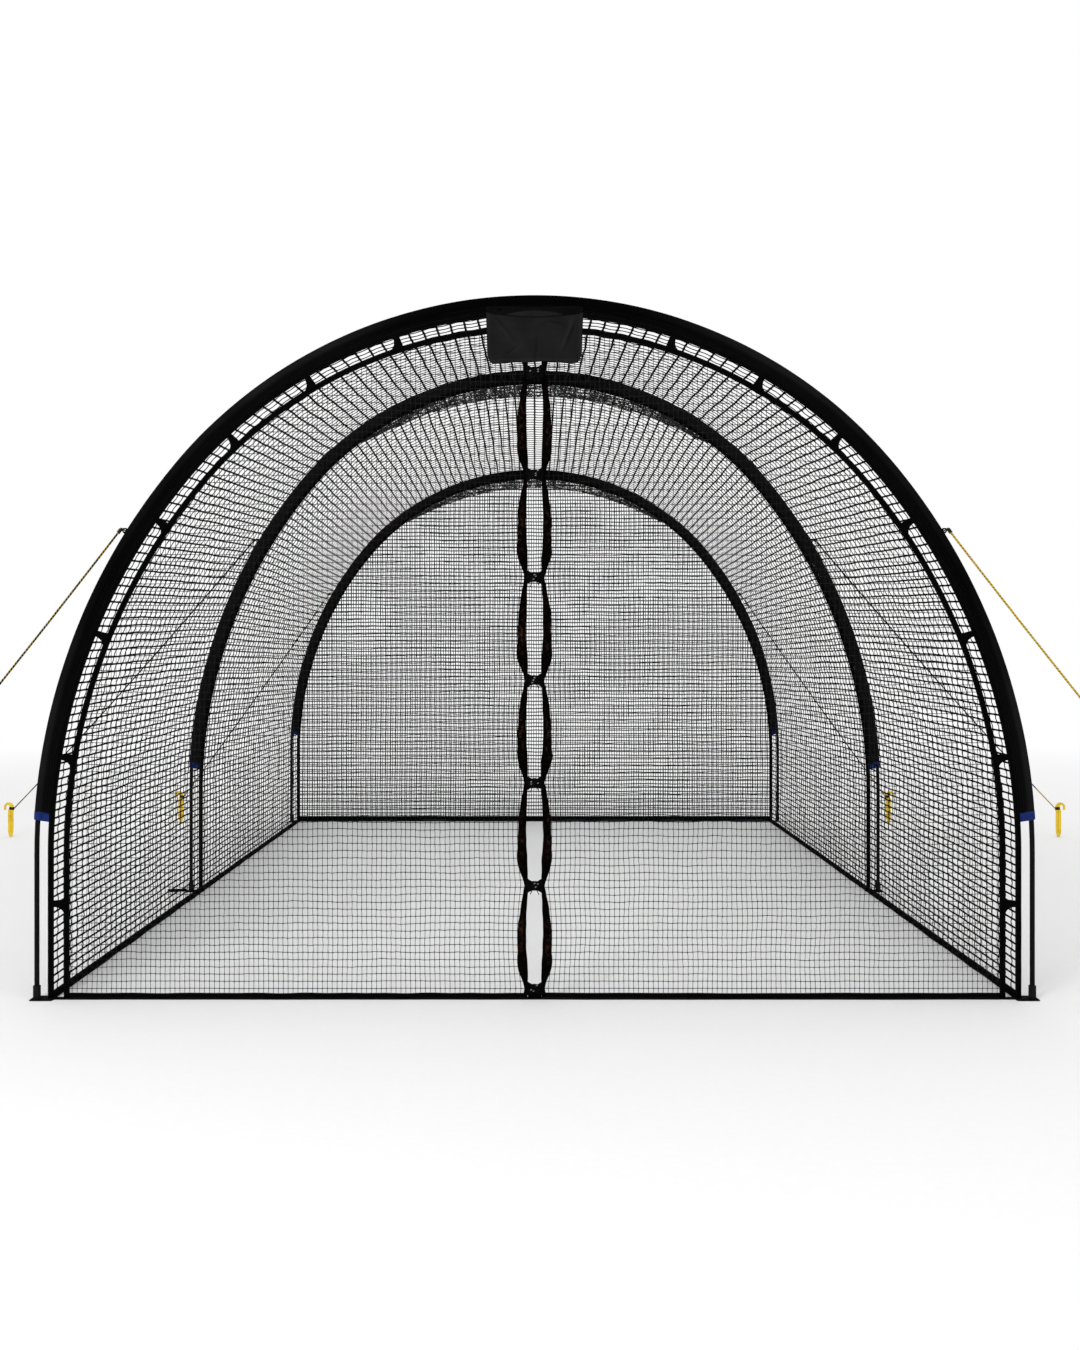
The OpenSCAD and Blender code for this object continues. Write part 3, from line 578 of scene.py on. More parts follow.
# edge webbing and the front panel's band: flat woven tape with rounded edges and two rows of thread
tapeForm = Form(step=0.02, edge=0.0008, wave=0.0005, stitch=0.0088, rowIn=0.0035, proud=0.0002, endGap=0.003)


def tapeOutline(low, high, thick):
    h, edge, middle = thick / 2, tapeForm.edge, (low + high) / 2
    face = [(high, h - edge), (high - edge, h), (middle, h * 1.04), (low + edge, h), (low, h - edge)]
    return np.array([(a, -b) for a, b in reversed(face)] + face)


def makeTape(name, bow, strip, replaces, seed, form):
    end = bow.half - form.endGap
    ripple = softNoise(seed, 0.16)

    def wobble(run, inside, forward):
        return inside, forward + form.wave * ripple(run, inside * 4), run
    tape = Sewn()
    outline = tapeOutline(strip.near, strip.far, strip.thick)
    addBowSweep(tape.cloth, bow, evenRuns(-end, end, form.step), outline, wobble)
    runs = evenRuns(-end + 0.01, end - 0.01, form.stitch)
    for inside in (strip.near + form.rowIn, strip.far - form.rowIn):
        addBowSeam(tape.seams, bow, runs, inside, strip.thick / 2 + form.proud)
    tape.make(name, name + "Seams", blackWebbing, "webbing_black", replaces)


for index, bow in enumerate(bows):
    makeTape(f"{bow.name}Webbing", bow, webbing, [f"{bow.name}_edge_webbing"], 40 + index, tapeForm)
makeTape("panelBand", frontBow, band, ["front_panel_band"], 47, tapeForm)
print("webbing made")

# tabs that hang the front panel: straight above, with a rounded flare below
tabForm = Form(first=9.5, step=12.5, count=6, legZ=0.348, waist=0.012, upper=0.016, lower=0.036, face=0.0046,
               thick=0.0018, curl=0.0006, settle=0.0008, weave=0.06, cols=9, rows=15)


def addTab(shape, side, run, form):
    inside = np.linspace(webbing.mid, band.mid, form.rows)[:, None]
    share = ramp((inside - webbing.far) / (band.near - webbing.far))
    below = between(form.waist, form.lower, 1 - chord(1, share))
    above = between(form.waist, form.upper, share)
    spread = np.linspace(0, 1, form.cols)
    runs = side * (run - above + (above + below) * spread)
    curl = form.curl * (2 * np.abs(spread - 0.5)) ** 4
    front, back = (bowPlace(frontBow, runs, inside, lift - form.settle * share)
                   for lift in (form.face - curl, form.face - form.thick + 0.4 * curl))
    addSheet(shape, front, back, form.weave, form.weave)


tabs = Shape()
tabAngles = [math.radians(tabForm.first + k * tabForm.step) for k in range(tabForm.count)]
tabRuns = [runAtAngle(frontBow, angle) for angle in tabAngles] + [runAtHeight(frontBow, tabForm.legZ)]
for side in (-1, 1):
    for run in tabRuns:
        addTab(tabs, side, run, tabForm)
makePiece("panelTabs", tabs, blackWebbing, ["band_tabs"])
print("tabs made")


# netting: cords that meet in knots, drawn thicker where they cross
def knotSamples(low, high, knots):
    knots = knots[(knots > low + 1e-4) & (knots < high - 1e-4)]
    stops = np.concatenate([[low], knots, [high]])
    samples = np.empty(2 * len(stops) - 1)
    samples[0::2], samples[1::2] = stops, (stops[1:] + stops[:-1]) / 2
    return samples, 1 - np.arange(len(samples)) % 2


def addKnotted(shape, path, radius, knot, form, normal=rearward):
    addCord(shape, path, radius * (1 + (form.knot - 1) * knot), normal=normal)


# slow and small drift of the cords in a net, as shifts across and up
def netDrift(seeds, form):
    noises = [softNoise(seed, span) for seed, span in zip(seeds, form.spans)]

    def drift(x, z, fade):
        slowX, slowZ, smallX, smallZ = (noise(x, z) for noise in noises)
        return (fade * (form.drift * slowX + form.small * smallX),
                fade * (form.drift * slowZ + form.small * smallZ))
    return drift


# the net of a bow, from its left edge, or from side to side
def addNet(uprights, levels, bow, inside, cols, rows, left, place, form):
    for x in cols:
        z, knot = knotSamples(form.low, float(heightAt(bow, x, inside)), rows)
        addKnotted(uprights, place(x + 0 * z, z), form.uprightR, knot, form)
    for z in rows:
        right = float(widthAt(bow, z, inside))
        x, knot = knotSamples(-right if left is None else left, right, cols)
        addKnotted(levels, place(x, z + 0 * x), form.levelR, knot, form)


# rear net: oblong knotted netting hung in the rear bow
rearForm = Form(pitchX=0.0183, pitchZ=0.0270, uprightR=0.0025, levelR=0.0042, knot=1.25, billow=0.028,
                drift=0.0028, small=0.0012, spans=(0.7, 0.6, 0.09, 0.09), low=0.008, edgeFade=0.2,
                billowFade=1.2)
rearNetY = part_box("rear_net")[0].y + 0.001
netEdgeX = rearBow.halfW - webbing.mid


def makeRearNet(form):
    cols = np.arange(-netEdgeX + form.pitchX / 2, netEdgeX, form.pitchX)
    rows = np.arange(form.low + form.pitchZ, float(heightAt(rearBow, 0, webbing.mid)), form.pitchZ)
    drift = netDrift((71, 72, 73, 74), form)

    def place(x, z):
        room = np.minimum(heightAt(rearBow, x, webbing.mid) - z, z)
        room = np.minimum(widthAt(rearBow, z, webbing.mid) - np.abs(x), room)
        dx, dz = drift(x, z, ramp(room / form.edgeFade))
        y = rearNetY + form.billow * ramp(room / form.billowFade) ** 0.7
        return np.stack([x + dx, y, z + dz], -1)

    uprights, levels = Shape(), Shape()
    addNet(uprights, levels, rearBow, webbing.mid, cols, np.append(form.low, rows), None, place, form)
    makePiece("rearUprightCords", uprights, rearCord, ["rear_net"], ownMap=True)
    makePiece("rearLevelCords", levels, rearCord, ["rear_net"], ownMap=True)


makeRearNet(rearForm)
print("rear net made")

# tunnel netting: long cords from bow to bow, denser on the walls, and wavy cords that follow the bows
tunnelForm = Form(wallPitch=0.0295, roofPitch=0.0555, roofAt=0.8, arcPitch=0.066, low=0.008, edge=0.002,
                  longR=Form(front=(0.0037, 0.0046), mid=(0.0035, 0.0050)),
                  arcR=Form(front=0.0020, mid=0.0024), rimR=0.0026, knot=1.25, roofSag=0.007, wave=0.006,
                  zigzag=0.007, drift=0.0024)


# 0 at the foot of a wall, 1 on the roof
def roofShare(station, form):
    return ramp((1 - np.abs(station)) / form.roofAt) ** 2.5


def tunnelStations(form, half):
    stations = [0.0]
    while stations[-1] < 1:
        pitch = between(form.wallPitch, form.roofPitch, roofShare(stations[-1], form))
        stations.append(stations[-1] + pitch / half)
    right = np.array(stations[1:-1])
    return np.concatenate([-right[::-1], [0.0], right])


def makeTunnelNet(near, far, replaces, form, seed):
    span = far.y - near.y
    half = (near.half + far.half) / 2
    end = 1 - form.low / half
    stations = tunnelStations(form, half)
    stations = stations[np.abs(stations) < end]
    arcCount = int(span / form.arcPitch)
    arcs = np.arange(1, arcCount) / arcCount
    driftU, driftV, wave = softNoise(seed, 0.5), softNoise(seed + 1, 0.5), softNoise(seed + 2, 0.12)

    def place(u, v):
        fade = ramp(np.minimum(v, 1 - v) / 0.08) * ramp((1 - np.abs(u)) / 0.05)
        across, along = u * half, v * span
        u = u + fade * form.drift / half * (driftU(across, along) + 0.35 * wave(across, along))
        v = v + fade * form.wave / span * (driftV(across, along) + 0.5 * wave(along, across))
        u = np.clip(u, -1, 1)
        inside = webbing.mid + form.roofSag * 4 * v * (1 - v) * np.clip(1.15 - np.abs(u), 0.12, 1)
        a = bowPlace(near, u * near.half, inside, -form.edge)
        b = bowPlace(far, u * far.half, inside, form.edge)
        return between(a, b, v[..., None])

    shape = Shape()
    for u in stations:
        v, knot = knotSamples(0.0, 1.0, arcs)
        path = place(u + 0 * v, v)
        inward = unit((upward - path) * (1, 0, 1))
        addKnotted(shape, path, between(*form.longR[near.name], roofShare(u, form)), knot, form, inward)
    for v in arcs:
        u, knot = knotSamples(-end, end, stations)
        path = place(u, v + 0 * u)
        path[:, 1] += np.where(knot > 0, 0, form.zigzag * np.where(np.arange(len(u)) % 4 == 1, 1, -1))
        addKnotted(shape, path, form.arcR[near.name], knot, form)
    v = np.linspace(0, 1, 40)
    for u in (-end, end):
        addCord(shape, place(u + 0 * v, v), form.rimR, 6, (1, 0, 0))
    makePiece(f"{near.name}BayNetting", shape, tunnelCord, replaces, ownMap=True)


makeTunnelNet(*bays[0], ["front_bay_net"], tunnelForm, 81)
makeTunnelNet(*bays[1], ["rear_bay_net"], tunnelForm, 91)
print("tunnel nets made")

# hems: upright tapes sewn along the nets' lower edges, with a thread row near each edge
hemForm = Form(low=0.006, high=0.036, thick=0.0036, step=0.03, stitch=0.009, wave=0.0014, edgeWave=0.0012,
               fade=0.1, rowIn=0.004, endGap=0.006, bowGap=0.003)
sideHem = Form(hemForm, low=0.003, high=0.022)
slitHem = Form(hemForm, low=0.0035, high=0.020, half=0.0245)


# start, heading, level side and length of a straight line on the ground
def groundLine(start, end):
    start, end = np.array([*start, 0.0]), np.array([*end, 0.0])
    along = unit(end - start)
    return start, along, np.array([along[1], -along[0], 0.0]), float(np.linalg.norm(end - start))


def addHem(sewn, start, end, form, seed):
    start, along, out, total = groundLine(start, end)
    ripple, edgeWave = softNoise(seed, 0.4), softNoise(seed + 1, 0.25)

    def place(run, height, depth):
        sway = form.wave * ramp(np.minimum(run, total - run) / form.fade) * ripple(run, height * 4)
        rise = height + form.edgeWave * edgeWave(run, 0.0)
        return start + along * run[..., None] + out * (depth + sway)[..., None] + upward * rise[..., None]

    run = evenRuns(0, total, form.step)
    outline = tapeOutline(form.low, form.high, form.thick)
    rings = place(run[:, None] + 0 * outline[:, 0], outline[:, 0], outline[:, 1])
    addRings(sewn.cloth, rings, run, outlineRun(outline))
    fine = evenRuns(form.endGap, total - form.endGap, form.stitch)
    for height in (form.low + form.rowIn, form.high - form.rowIn):
        for face in (-1, 1):
            depth = face * (form.thick / 2 + tapeForm.proud)
            addStitches(sewn.seams, place(fine, height, depth), along, face * out)


hems = Sewn()
for side in (-1, 1):
    for k, (near, far) in enumerate(bays):
        ends = ((side * netEdgeX, y) for y in (near.y + hemForm.bowGap, far.y - hemForm.bowGap))
        addHem(hems, *ends, sideHem, 301 + 10 * k + side)
addHem(hems, (-netEdgeX, rearNetY), (netEdgeX, rearNetY), hemForm, 331)
addHem(hems, (-slitHem.half, frontBow.y), (slitHem.half, frontBow.y), slitHem, 335)
hems.make("cageHems", "cageHemSeams", blackWebbing, "webbing_black")
print("hems made")

# the slit door: petal-shaped tapes that swell between the ties
doorForm = Form(bottom=0.010, tieFirst=0.038, tieStep=0.37642, ties=6, slitTie=0.024, slitBetween=0.031,
                tapeTie=0.0125, tapeBetween=0.031, foldLow=0.900, foldTop=0.045, foldWidth=0.10)
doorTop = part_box("door_net_left")[1].z
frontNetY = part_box("front_net_left")[0].y + 0.0013


def swell(z):
    return np.abs(np.sin(math.pi * (z - doorForm.tieFirst) / doorForm.tieStep))


def slitHalf(z):
    return between(doorForm.slitTie, doorForm.slitBetween, swell(z))


def tapeWidth(z):
    return between(doorForm.tapeTie, doorForm.tapeBetween, swell(z))


# front nets: fine netting from the slit to the panel band
frontForm = Form(pitchX=0.0180, pitchZ=0.0265, uprightR=0.00095, levelR=0.00122, knot=1.4, drift=0.0026,
                 small=0.0012, spans=(0.55, 0.5, 0.07, 0.07), low=0.010, slit=0.040, billow=0.004, pull=0.08,
                 edgeFade=0.15, hemLow=0.0042, hemWave=0.0004)


def makeFrontNet(sideName, side, form):
    edge = frontBow.halfW - band.mid
    cols = np.arange(form.slit, edge, form.pitchX)
    rows = np.arange(form.low + form.pitchZ, float(heightAt(frontBow, form.slit, band.mid)), form.pitchZ)
    drift = netDrift([seed + side for seed in (101, 104, 111, 114)], form)
    deep = softNoise(107 + side, 0.8)

    def place(x, z):
        room = np.minimum(widthAt(frontBow, z, band.mid) - x, heightAt(frontBow, x, band.mid) - z)
        fade = ramp(np.minimum(room, np.minimum(x - 0.03, z)) / form.edgeFade)
        dx, dz = drift(x, z, fade)
        pull = slitHalf(z) + tapeWidth(z) / 2 - form.slit
        dx = pull * np.exp(-np.maximum(x - form.slit, 0) / form.pull) + dx
        y = frontNetY + fade * form.billow * (1 + deep(x, z)) / 2
        return np.stack([side * (x + dx), y, z + dz], -1)

    title = "front" + sideName.capitalize()
    shape, hem = Shape(), Sewn()
    addNet(shape, shape, frontBow, band.mid, cols, rows, form.slit, place, form)
    net = makePiece(title + "Netting", shape, netCord,
                    [f"front_net_{sideName}", f"door_net_{sideName}"], None, ownMap=True)
    addHem(hem, (side * form.slit, frontNetY), (side * edge, frontNetY),
           Form(slitHem, low=form.hemLow, wave=form.hemWave), 341 + side)
    hemPieces = hem.make(title + "Hem", title + "HemSeams", blackWebbing, "webbing_black", (), None)
    # the net and its hem get their placement baked into their meshes
    for piece in (net, *hemPieces):
        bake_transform(piece)


for sideName, side in bothSides:
    makeFrontNet(sideName, side, frontForm)
print("front nets made")

# door tapes: cloth ribbons, pleated where the ties draw them in
ribbonForm = Form(step=0.007, cols=11, thick=0.0022, bulge=0.0022, pleat=0.0016, full=0.011, lap=0.003,
                  raggedIn=0.0012, raggedOut=0.0016, raggedFace=0.0006, weave=0.04, lowGap=0.005,
                  topGap=0.0004)


def addDoorTape(shape, side, low, high, seed, form):
    z = evenRuns(low, high, form.step)[:, None]
    ragged = softNoise(seed, 0.11)
    share = np.linspace(0, 1, form.cols)[None, :]
    phase = ((z - doorForm.tieFirst) / doorForm.tieStep) % 1
    full = bell(phase, 0.22, 0.13)
    inner = slitHalf(z) - form.lap * full + form.raggedIn * ragged(z, 0.0)
    outer = slitHalf(z) + tapeWidth(z) + form.full * full + form.raggedOut * ragged(z, 0.3)
    x = between(inner, outer, share)
    # painted shade and highlight: the tape is black near the ties and at its edges, where it is drawn in and
    # in shade; its brown flecks, partly the tape's own weave and partly painted highlight, show only on the
    # middle of each swell
    tone = 1 - bell(phase, 0.5, 0.26) * bell(share, 0.58, 0.30)
    lift = form.bulge * np.sin(math.pi * share) * (0.35 + swell(z))
    lift = lift + (1 - swell(z)) * form.pleat * np.sin(share * math.pi * 5)
    lift = lift + form.raggedFace * ragged(z * 2, share)
    front = np.stack([side * x, frontBow.y - lift - form.thick / 2, z + 0 * x], -1)
    addSheet(shape, front, front + rearward * form.thick, form.weave, high - low, tone)


topTapes = Shape()
tapeEnds = (doorForm.bottom - ribbonForm.lowGap, doorTop - ribbonForm.topGap)
topTapeEnds = (doorTop + ribbonForm.topGap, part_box("slit_top_bands")[1].z)
for sideName, side in bothSides:
    tape = Shape()
    addDoorTape(tape, side, *tapeEnds, 121 + side, ribbonForm)
    addDoorTape(topTapes, side, *topTapeEnds, 131 + side, ribbonForm)
    makePiece(f"doorTape{sideName.capitalize()}", tape, doorTape, [f"door_band_{sideName}"],
              f"door_{sideName}")
makePiece("slitTopTapes", topTapes, doorTape, ["slit_top_bands"])
print("door tapes made")

# ties: shiny cord lashed crosswise over both tapes, with a knot and two ends; short light patches on some
# turns are painted glints
tieForm = Form(length=0.074, slant=24.0, turns=6, cord=0.0027, sides=8, spread=0.024, lift=0.0042,
               over=0.0032, forward=0.0024, knotStep=0.0052, knotWide=0.0035, knotTall=0.0165,
               knotLift=0.0046, knotBulge=0.0034, knotTwist=0.00096, tail=0.026, tailLift=0.0062)


def addTie(shape, z, form, seed):
    rng = np.random.default_rng(seed)
    front = frontBow.y - form.forward
    share = np.linspace(-1, 1, 17)
    for way, over in ((-1, 0.0), (1, form.over)):
        slant = math.radians(form.slant + rng.uniform(-3, 3)) * way
        for k in range(form.turns):
            off = (k / (form.turns - 1) - 0.5) * form.spread * (0.75 + 0.25 * share ** 2)
            reach = form.length / 2 * (1 - 0.07 * rng.random()) * share
            y = front - (form.lift + over * (1 - share ** 2)) * chord(1, share) - 0.0005 * rng.random()
            path = np.stack([reach * math.cos(slant), y, z + reach * math.sin(slant) + off], 1)
            # a short light patch on every other turn of the outer set is a painted glint
            paintedGlint = np.zeros(len(share))
            if way > 0 and k % 2:
                paintedGlint[rng.integers(4, 12)] = 1
            addCord(shape, path, form.cord, form.sides, shade=paintedGlint)
    angle = np.linspace(0, fullTurn, 25)
    y = front - form.knotLift - form.knotTwist * np.cos(angle * 2) - form.knotBulge * np.abs(np.sin(angle))
    for shift in (-form.knotStep, 0.0, form.knotStep):
        ring = np.stack([shift + form.knotWide * np.sin(angle), y, z + form.knotTall * np.cos(angle)], 1)
        addCord(shape, ring, form.cord * 0.9, form.sides, (1, 0, 0))
    t = np.linspace(0, 1, 12)
    for side in (-1, 1):
        drop = form.tail * (0.7 + 0.3 * rng.random()) * t ** 1.3
        y = front - form.tailLift + 0.0036 * t
        path = np.stack([side * (0.004 + 0.012 * t), y, z - 0.010 - drop], 1)
        addCord(shape, path, form.cord * 0.7 * (1 - 0.25 * t), form.sides)


ties, topTie = Shape(), Shape()
for k in range(doorForm.ties):
    addTie(ties, doorForm.tieFirst + k * doorForm.tieStep, tieForm, 140 + k)
addTie(topTie, sum(corner.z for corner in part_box("top_tie")) / 2, tieForm, 150)
makePiece("doorTieCords", ties, tieCord, ["door_ties"], "door_left")
makePiece("topTieCords", topTie, tieCord, ["top_tie"])
print("ties made")

# banner: plain hemmed cloth hung from the front bow, with a curved seam near its top and a few soft creases
bannerForm = Form(cols=90, rows=120, thick=0.0016, taper=0.055, wave=0.005, wrinkle=0.0016, corner=0.026,
                  hem=0.012, hemFold=0.0007, flare=1.02, pipe=0.0013, pipeStep=0.005, droop=(0.010, 0.005),
                  seam=(0.042, 0.018), groove=0.0012, strip=(0.017, 0.018, 0.62), panel=0.53, crease=0.0034,
                  stitch=0.0062, thread=(0.0022, 0.0005, 0.0004))
# the ends of each crease, as shares of the banner's half width and drop
bannerCreases = [(-0.88, 0.16, -0.40, 0.66), (0.84, 0.20, 0.56, 0.80), (0.03, 1.0, 0.08, 0.52),
                 (-0.62, 0.92, -0.30, 0.70), (0.20, 0.30, 0.62, 0.36)]


# ridge and lit side of one crease
def creaseAt(x, down, half, drop, ends):
    first, last = np.reshape(ends, (2, 2)) * (half, drop)
    long = float(np.linalg.norm(last - first))
    headX, headZ = (last - first) / long
    x, down = x - first[0], down - first[1]
    off = x * headZ - down * headX
    fade = ramp(1 - (2 * (x * headX + down * headZ) / long - 1) ** 2) ** 0.7
    return bell(off, 0, 0.008) * fade, (bell(off, 0.005, 0.006) - bell(off, -0.005, 0.006)) * fade


def makeBanner(form):
    low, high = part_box("banner")
    width, drop = high.x - low.x, high.z - low.z
    a = np.linspace(-1, 1, form.cols)[None, :]
    b = np.linspace(0, 1, form.rows)[:, None]
    ripple, small = softNoise(161, 0.22), softNoise(162, 0.06)
    x = a * width / 2 * form.flare * (1 - form.taper * np.sqrt(b) * np.abs(a) ** 3)
    down = drop * b + 0 * a
    bend = np.maximum(np.abs(x) - (width / 2 * (1 - form.taper) - form.corner), 0) / form.corner
    lift = form.corner * (1 - chord(1, np.minimum(bend, 1))) * b ** 6
    droop = np.where(a < 0, *form.droop) * np.abs(a) ** 3 * b ** 2
    z = high.z - down + lift - droop + 0.0025 * b ** 4 * ripple(x, 0.7) - 0.004 * (1 - b) ** 6 * (1 - a ** 2)
    y = low.y + 0.0015 - form.wave * b ** 1.5 * (0.6 + ripple(x, z)) / 1.3
    y = y - form.wrinkle * small(x * 0.7, z) * (0.35 + 0.65 * (1 - b) ** 2)
    tone = form.panel + 0.10 * ripple(x * 1.4, z)
    # painted light and shade on the creases: one side of each crease lighter, the other darker
    for ends in bannerCreases:
        ridge, lit = creaseAt(x, down, width / 2, drop, ends)
        y = y - form.crease * ridge
        tone = tone + 0.20 * lit
    # hem, then the seam with a strip of cloth above it that ends in a point at each side; the hem and its
    # stitch line are painted lighter as a highlight, and above the seam the cloth is painted dark as shade
    # under the sleeve, half as dark in the strip
    edge = np.minimum((1 - np.abs(a)) * width / 2, drop - down)
    y = y - form.hemFold * (edge < form.hem)
    tone = tone - 0.14 * ramp((form.hem - edge) / 0.002) - 0.16 * bell(edge, form.hem, 0.002)
    seamDown = form.seam[0] - form.seam[1] * a ** 2
    stripDown = form.strip[0] + form.strip[1] * (a / form.strip[2]) ** 2
    above = ramp((seamDown - down) / 0.002 + 0.5)
    upper = 1 - 0.5 * ramp((down - stripDown) / 0.004 + 0.5)
    groove = bell(down, seamDown, 0.0028)
    tone = tone * (1 - above) + upper * above
    front = np.stack([x, y + form.groove * groove, z], -1)
    sewn, pipe = Sewn(), Shape()
    # the seam's groove is painted darker as shade
    addSheet(sewn.cloth, front, front + rearward * form.thick, width, drop, ramp(tone + (1 - tone) * groove))
    row = np.concatenate([front[26:-6, 2], front[-6, 3:-3], front[26:-6, -3][::-1]])
    fine = finePath(row, form.stitch)
    addStitches(sewn.seams, fine - rearward * 0.0004, tangents(fine), -rearward, form.thread)
    panel, thread = sewn.make("bannerPanel", "bannerSeams", bannerCloth, "banner_fabric", ["banner"],
                              "banner")
    rim = np.concatenate([front[16:, 0], front[-1, 1:-1], front[16:, -1][::-1]]) + rearward * form.thick / 2
    addCord(pipe, finePath(rim, form.pipeStep), form.pipe, 6)
    piping = makePiece("bannerPiping", pipe, bannerPipe, (), "banner")


makeBanner(bannerForm)
print("banner made")

# spare net gathered under the middle and rear crowns: a tangle of bunched cords
gatherForm = Form(half=37.0, depth=0.062, long=14, loops=300, radius=0.0018, thick=0.020, step=0.018,
                  gap=0.001)


def makeGather(bow, form, seed):
    rng = np.random.default_rng(seed)
    end = math.radians(form.half) * bow.crownR
    shape = Shape()

    def place(run, at, share, out):
        depth = form.depth * ramp(1 - (at / end) ** 2) ** 0.8
        return bowPlace(bow, run, webbing.far + form.gap + share * depth, form.thick * out)

    run = evenRuns(-end, end, form.step)
    for k in range(form.long):
        level = (k + 0.5) / form.long
        wobble = np.cumsum(rng.normal(0, 0.16, len(run)))
        wobble = (wobble - np.linspace(wobble[0], wobble[-1], len(run))) * 0.25
        share = ramp(level + 0.12 * np.sin(run * rng.uniform(8, 30) + rng.uniform(0, 6)) + 0.06 * wobble)
        out = np.sin(run * rng.uniform(10, 45) + rng.uniform(0, 6)) * 0.4 + rng.uniform(-0.5, 0.5)
        addCord(shape, place(run, run, share, out), form.radius * rng.uniform(0.8, 1.3))
    t = np.linspace(0, 1, 9)
    for k in range(form.loops):
        centre = rng.uniform(-0.97, 0.97) * end
        reach = rng.uniform(0.01, 0.05)
        loop = np.clip(centre + reach * (t - 0.5) + 0.012 * np.sin(t * 9 + k), -end, end)
        share = ramp(0.5 - 0.5 * np.cos(fullTurn * t * rng.uniform(0.5, 1.2)))
        out = rng.uniform(-0.8, 0.8) + 0.3 * np.sin(t * 7 + k)
        addCord(shape, place(loop, centre, share, out), form.radius * rng.uniform(0.8, 1.4))
    makePiece(f"{bow.name}Gather", shape, gatherCord, [f"{bow.name}_crown_gather"],
              ownMap=True)


makeGather(midBow, gatherForm, 171)
makeGather(rearBow, gatherForm, 172)
print("gathered nets made")

# ground straps: webbing laid flat, a little uneven, with a thread row along each edge
strapForm = Form(width=0.030, thick=0.003, step=0.03, wander=0.0022, fade=0.15, stitch=0.009, rowIn=0.004,
                 endGap=0.006, tilt=0.0, footGap=0.0352)
strapSeeds = Form(front=181, rear=182, left=185, right=183)
# a loose end of strap lies outside the left foot of the middle bow
looseForm = Form(strapForm, width=0.022, tilt=0.9, start=(-0.02, -0.01), end=(-0.115, -0.035), seed=189)


def addStrap(sewn, start, end, form, seed):
    start, along, sideways, total = groundLine(start, end)
    run = evenRuns(0, total, form.step)
    wander = form.wander * ramp(np.minimum(run, total - run) / form.fade) * softNoise(seed, 0.5)(run, 0.0)
    centre = start + along * run[:, None] - sideways * wander[:, None]
    half = form.width / 2
    outline = tapeOutline(-half, half, form.thick)
    cos, sin = math.cos(form.tilt), math.sin(form.tilt)
    wide, rise = (outline @ np.array([[cos, sin], [-sin, cos]])).T[:, :, None]
    rings = centre[:, None, :] - sideways * wide + upward * (rise - rise.min())
    addRings(sewn.cloth, rings, run, outlineRun(outline))
    if form.tilt:
        return
    fine = evenRuns(form.endGap, total - form.endGap, form.stitch)
    line = pathAt(centre, run, fine) + upward * (form.thick + tapeForm.proud)
    for edge in (half - form.rowIn, form.rowIn - half):
        addStitches(sewn.seams, line + sideways * edge, along, upward)


for name, seed in strapSeeds.items():
    low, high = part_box(f"{name}_ground_strap")
    x, y = (low.x + high.x) / 2, (low.y + high.y) / 2
    strap = Sewn()
    if name in ("front", "rear"):
        addStrap(strap, (low.x, y), (high.x, y), strapForm, seed)
    else:
        for k, (near, far) in enumerate(bays):
            ends = ((x, end) for end in (near.y + strapForm.footGap, far.y - strapForm.footGap))
            addStrap(strap, *ends, strapForm, seed + k)
    if name == "left":
        ends = ((-midBow.halfW + dx, midBow.y + dy) for dx, dy in (looseForm.start, looseForm.end))
        addStrap(strap, *ends, looseForm, looseForm.seed)
    strap.make(f"{name}Strap", f"{name}StrapSeams", strapWebbing, "webbing_black", [f"{name}_ground_strap"])
print("ground straps made")

# corner patches: doubled cloth under each foot, rounded corners and a sewn cross
patchForm = Form(deep=0.070, inner=0.0672, outer=0.0185, thick=0.003, cells=14, inset=0.0065, stitch=0.0062,
                 bare=0.015, thread=(0.0024, 0.0006, 0.0005))


def addPatch(sewn, side, bow, form):
    lowX, highX = bow.halfW - form.inner, bow.halfW + form.outer
    a, b = np.meshgrid(*[np.linspace(-1, 1, form.cells)] * 2)
    bulge = 1 - 0.06 * np.abs(a) ** 6 * np.abs(b) ** 6
    x = (lowX + highX) / 2 + (highX - lowX) / 2 * a * bulge
    y = bow.y + form.deep / 2 * b * bulge
    top = form.thick - 0.0009 * np.maximum(np.abs(a), np.abs(b)) ** 10
    upper, lower = (np.stack([side * x, y, z], -1) for z in (top, 0 * top))
    addSheet(sewn.cloth, upper, lower, highX - lowX, form.deep)
    near, far, half = lowX + form.inset, highX - form.inset, form.deep / 2 - form.inset
    loop = [(near, -half), (far, -half), (far, half), (near, half), (near, -half), (far, half)]
    path = np.array([(side * px, bow.y + py, form.thick + 0.0001) for px, py in loop])
    fine = finePath(path, form.stitch)
    shown = np.hypot(np.abs(fine[:, 0]) - bow.halfW, fine[:, 1] - bow.y) > form.bare
    addStitches(sewn.seams, fine[shown], tangents(fine)[shown], upward, form.thread)


patches = Sewn()
for bow, side in bowSides:
    addPatch(patches, side, bow, patchForm)
patches.make("footPatches", "footPatchSeams", strapWebbing, "webbing_black", ["corner_patches"])
print("corner patches made")

# guy tabs: webbing tongues with a round end and an eye, tied to the ropes
guyForm = Form(angle=Form(front=32.0, mid=31.0, rear=30.0), foot=0.0105, long=0.0172, half=0.0105,
               eye=0.0045, eyeAt=0.0082, thick=0.003, steps=28, stitched=(0.0015, 0.0125, 0.005),
               rowAt=0.0075, rowLift=0.0016, thread=(0.002, 0.0005, 0.0004))
# the tongue's section from its eye to its rim and back, as shares across and half thicknesses
guySection = [(0, 1), (0.12, 1.25), (0.3, 1.0), (0.92, 1.0), (1.0, 0.7)]
guySection = guySection + [(share, -depth) for share, depth in reversed(guySection)] + guySection[:1]


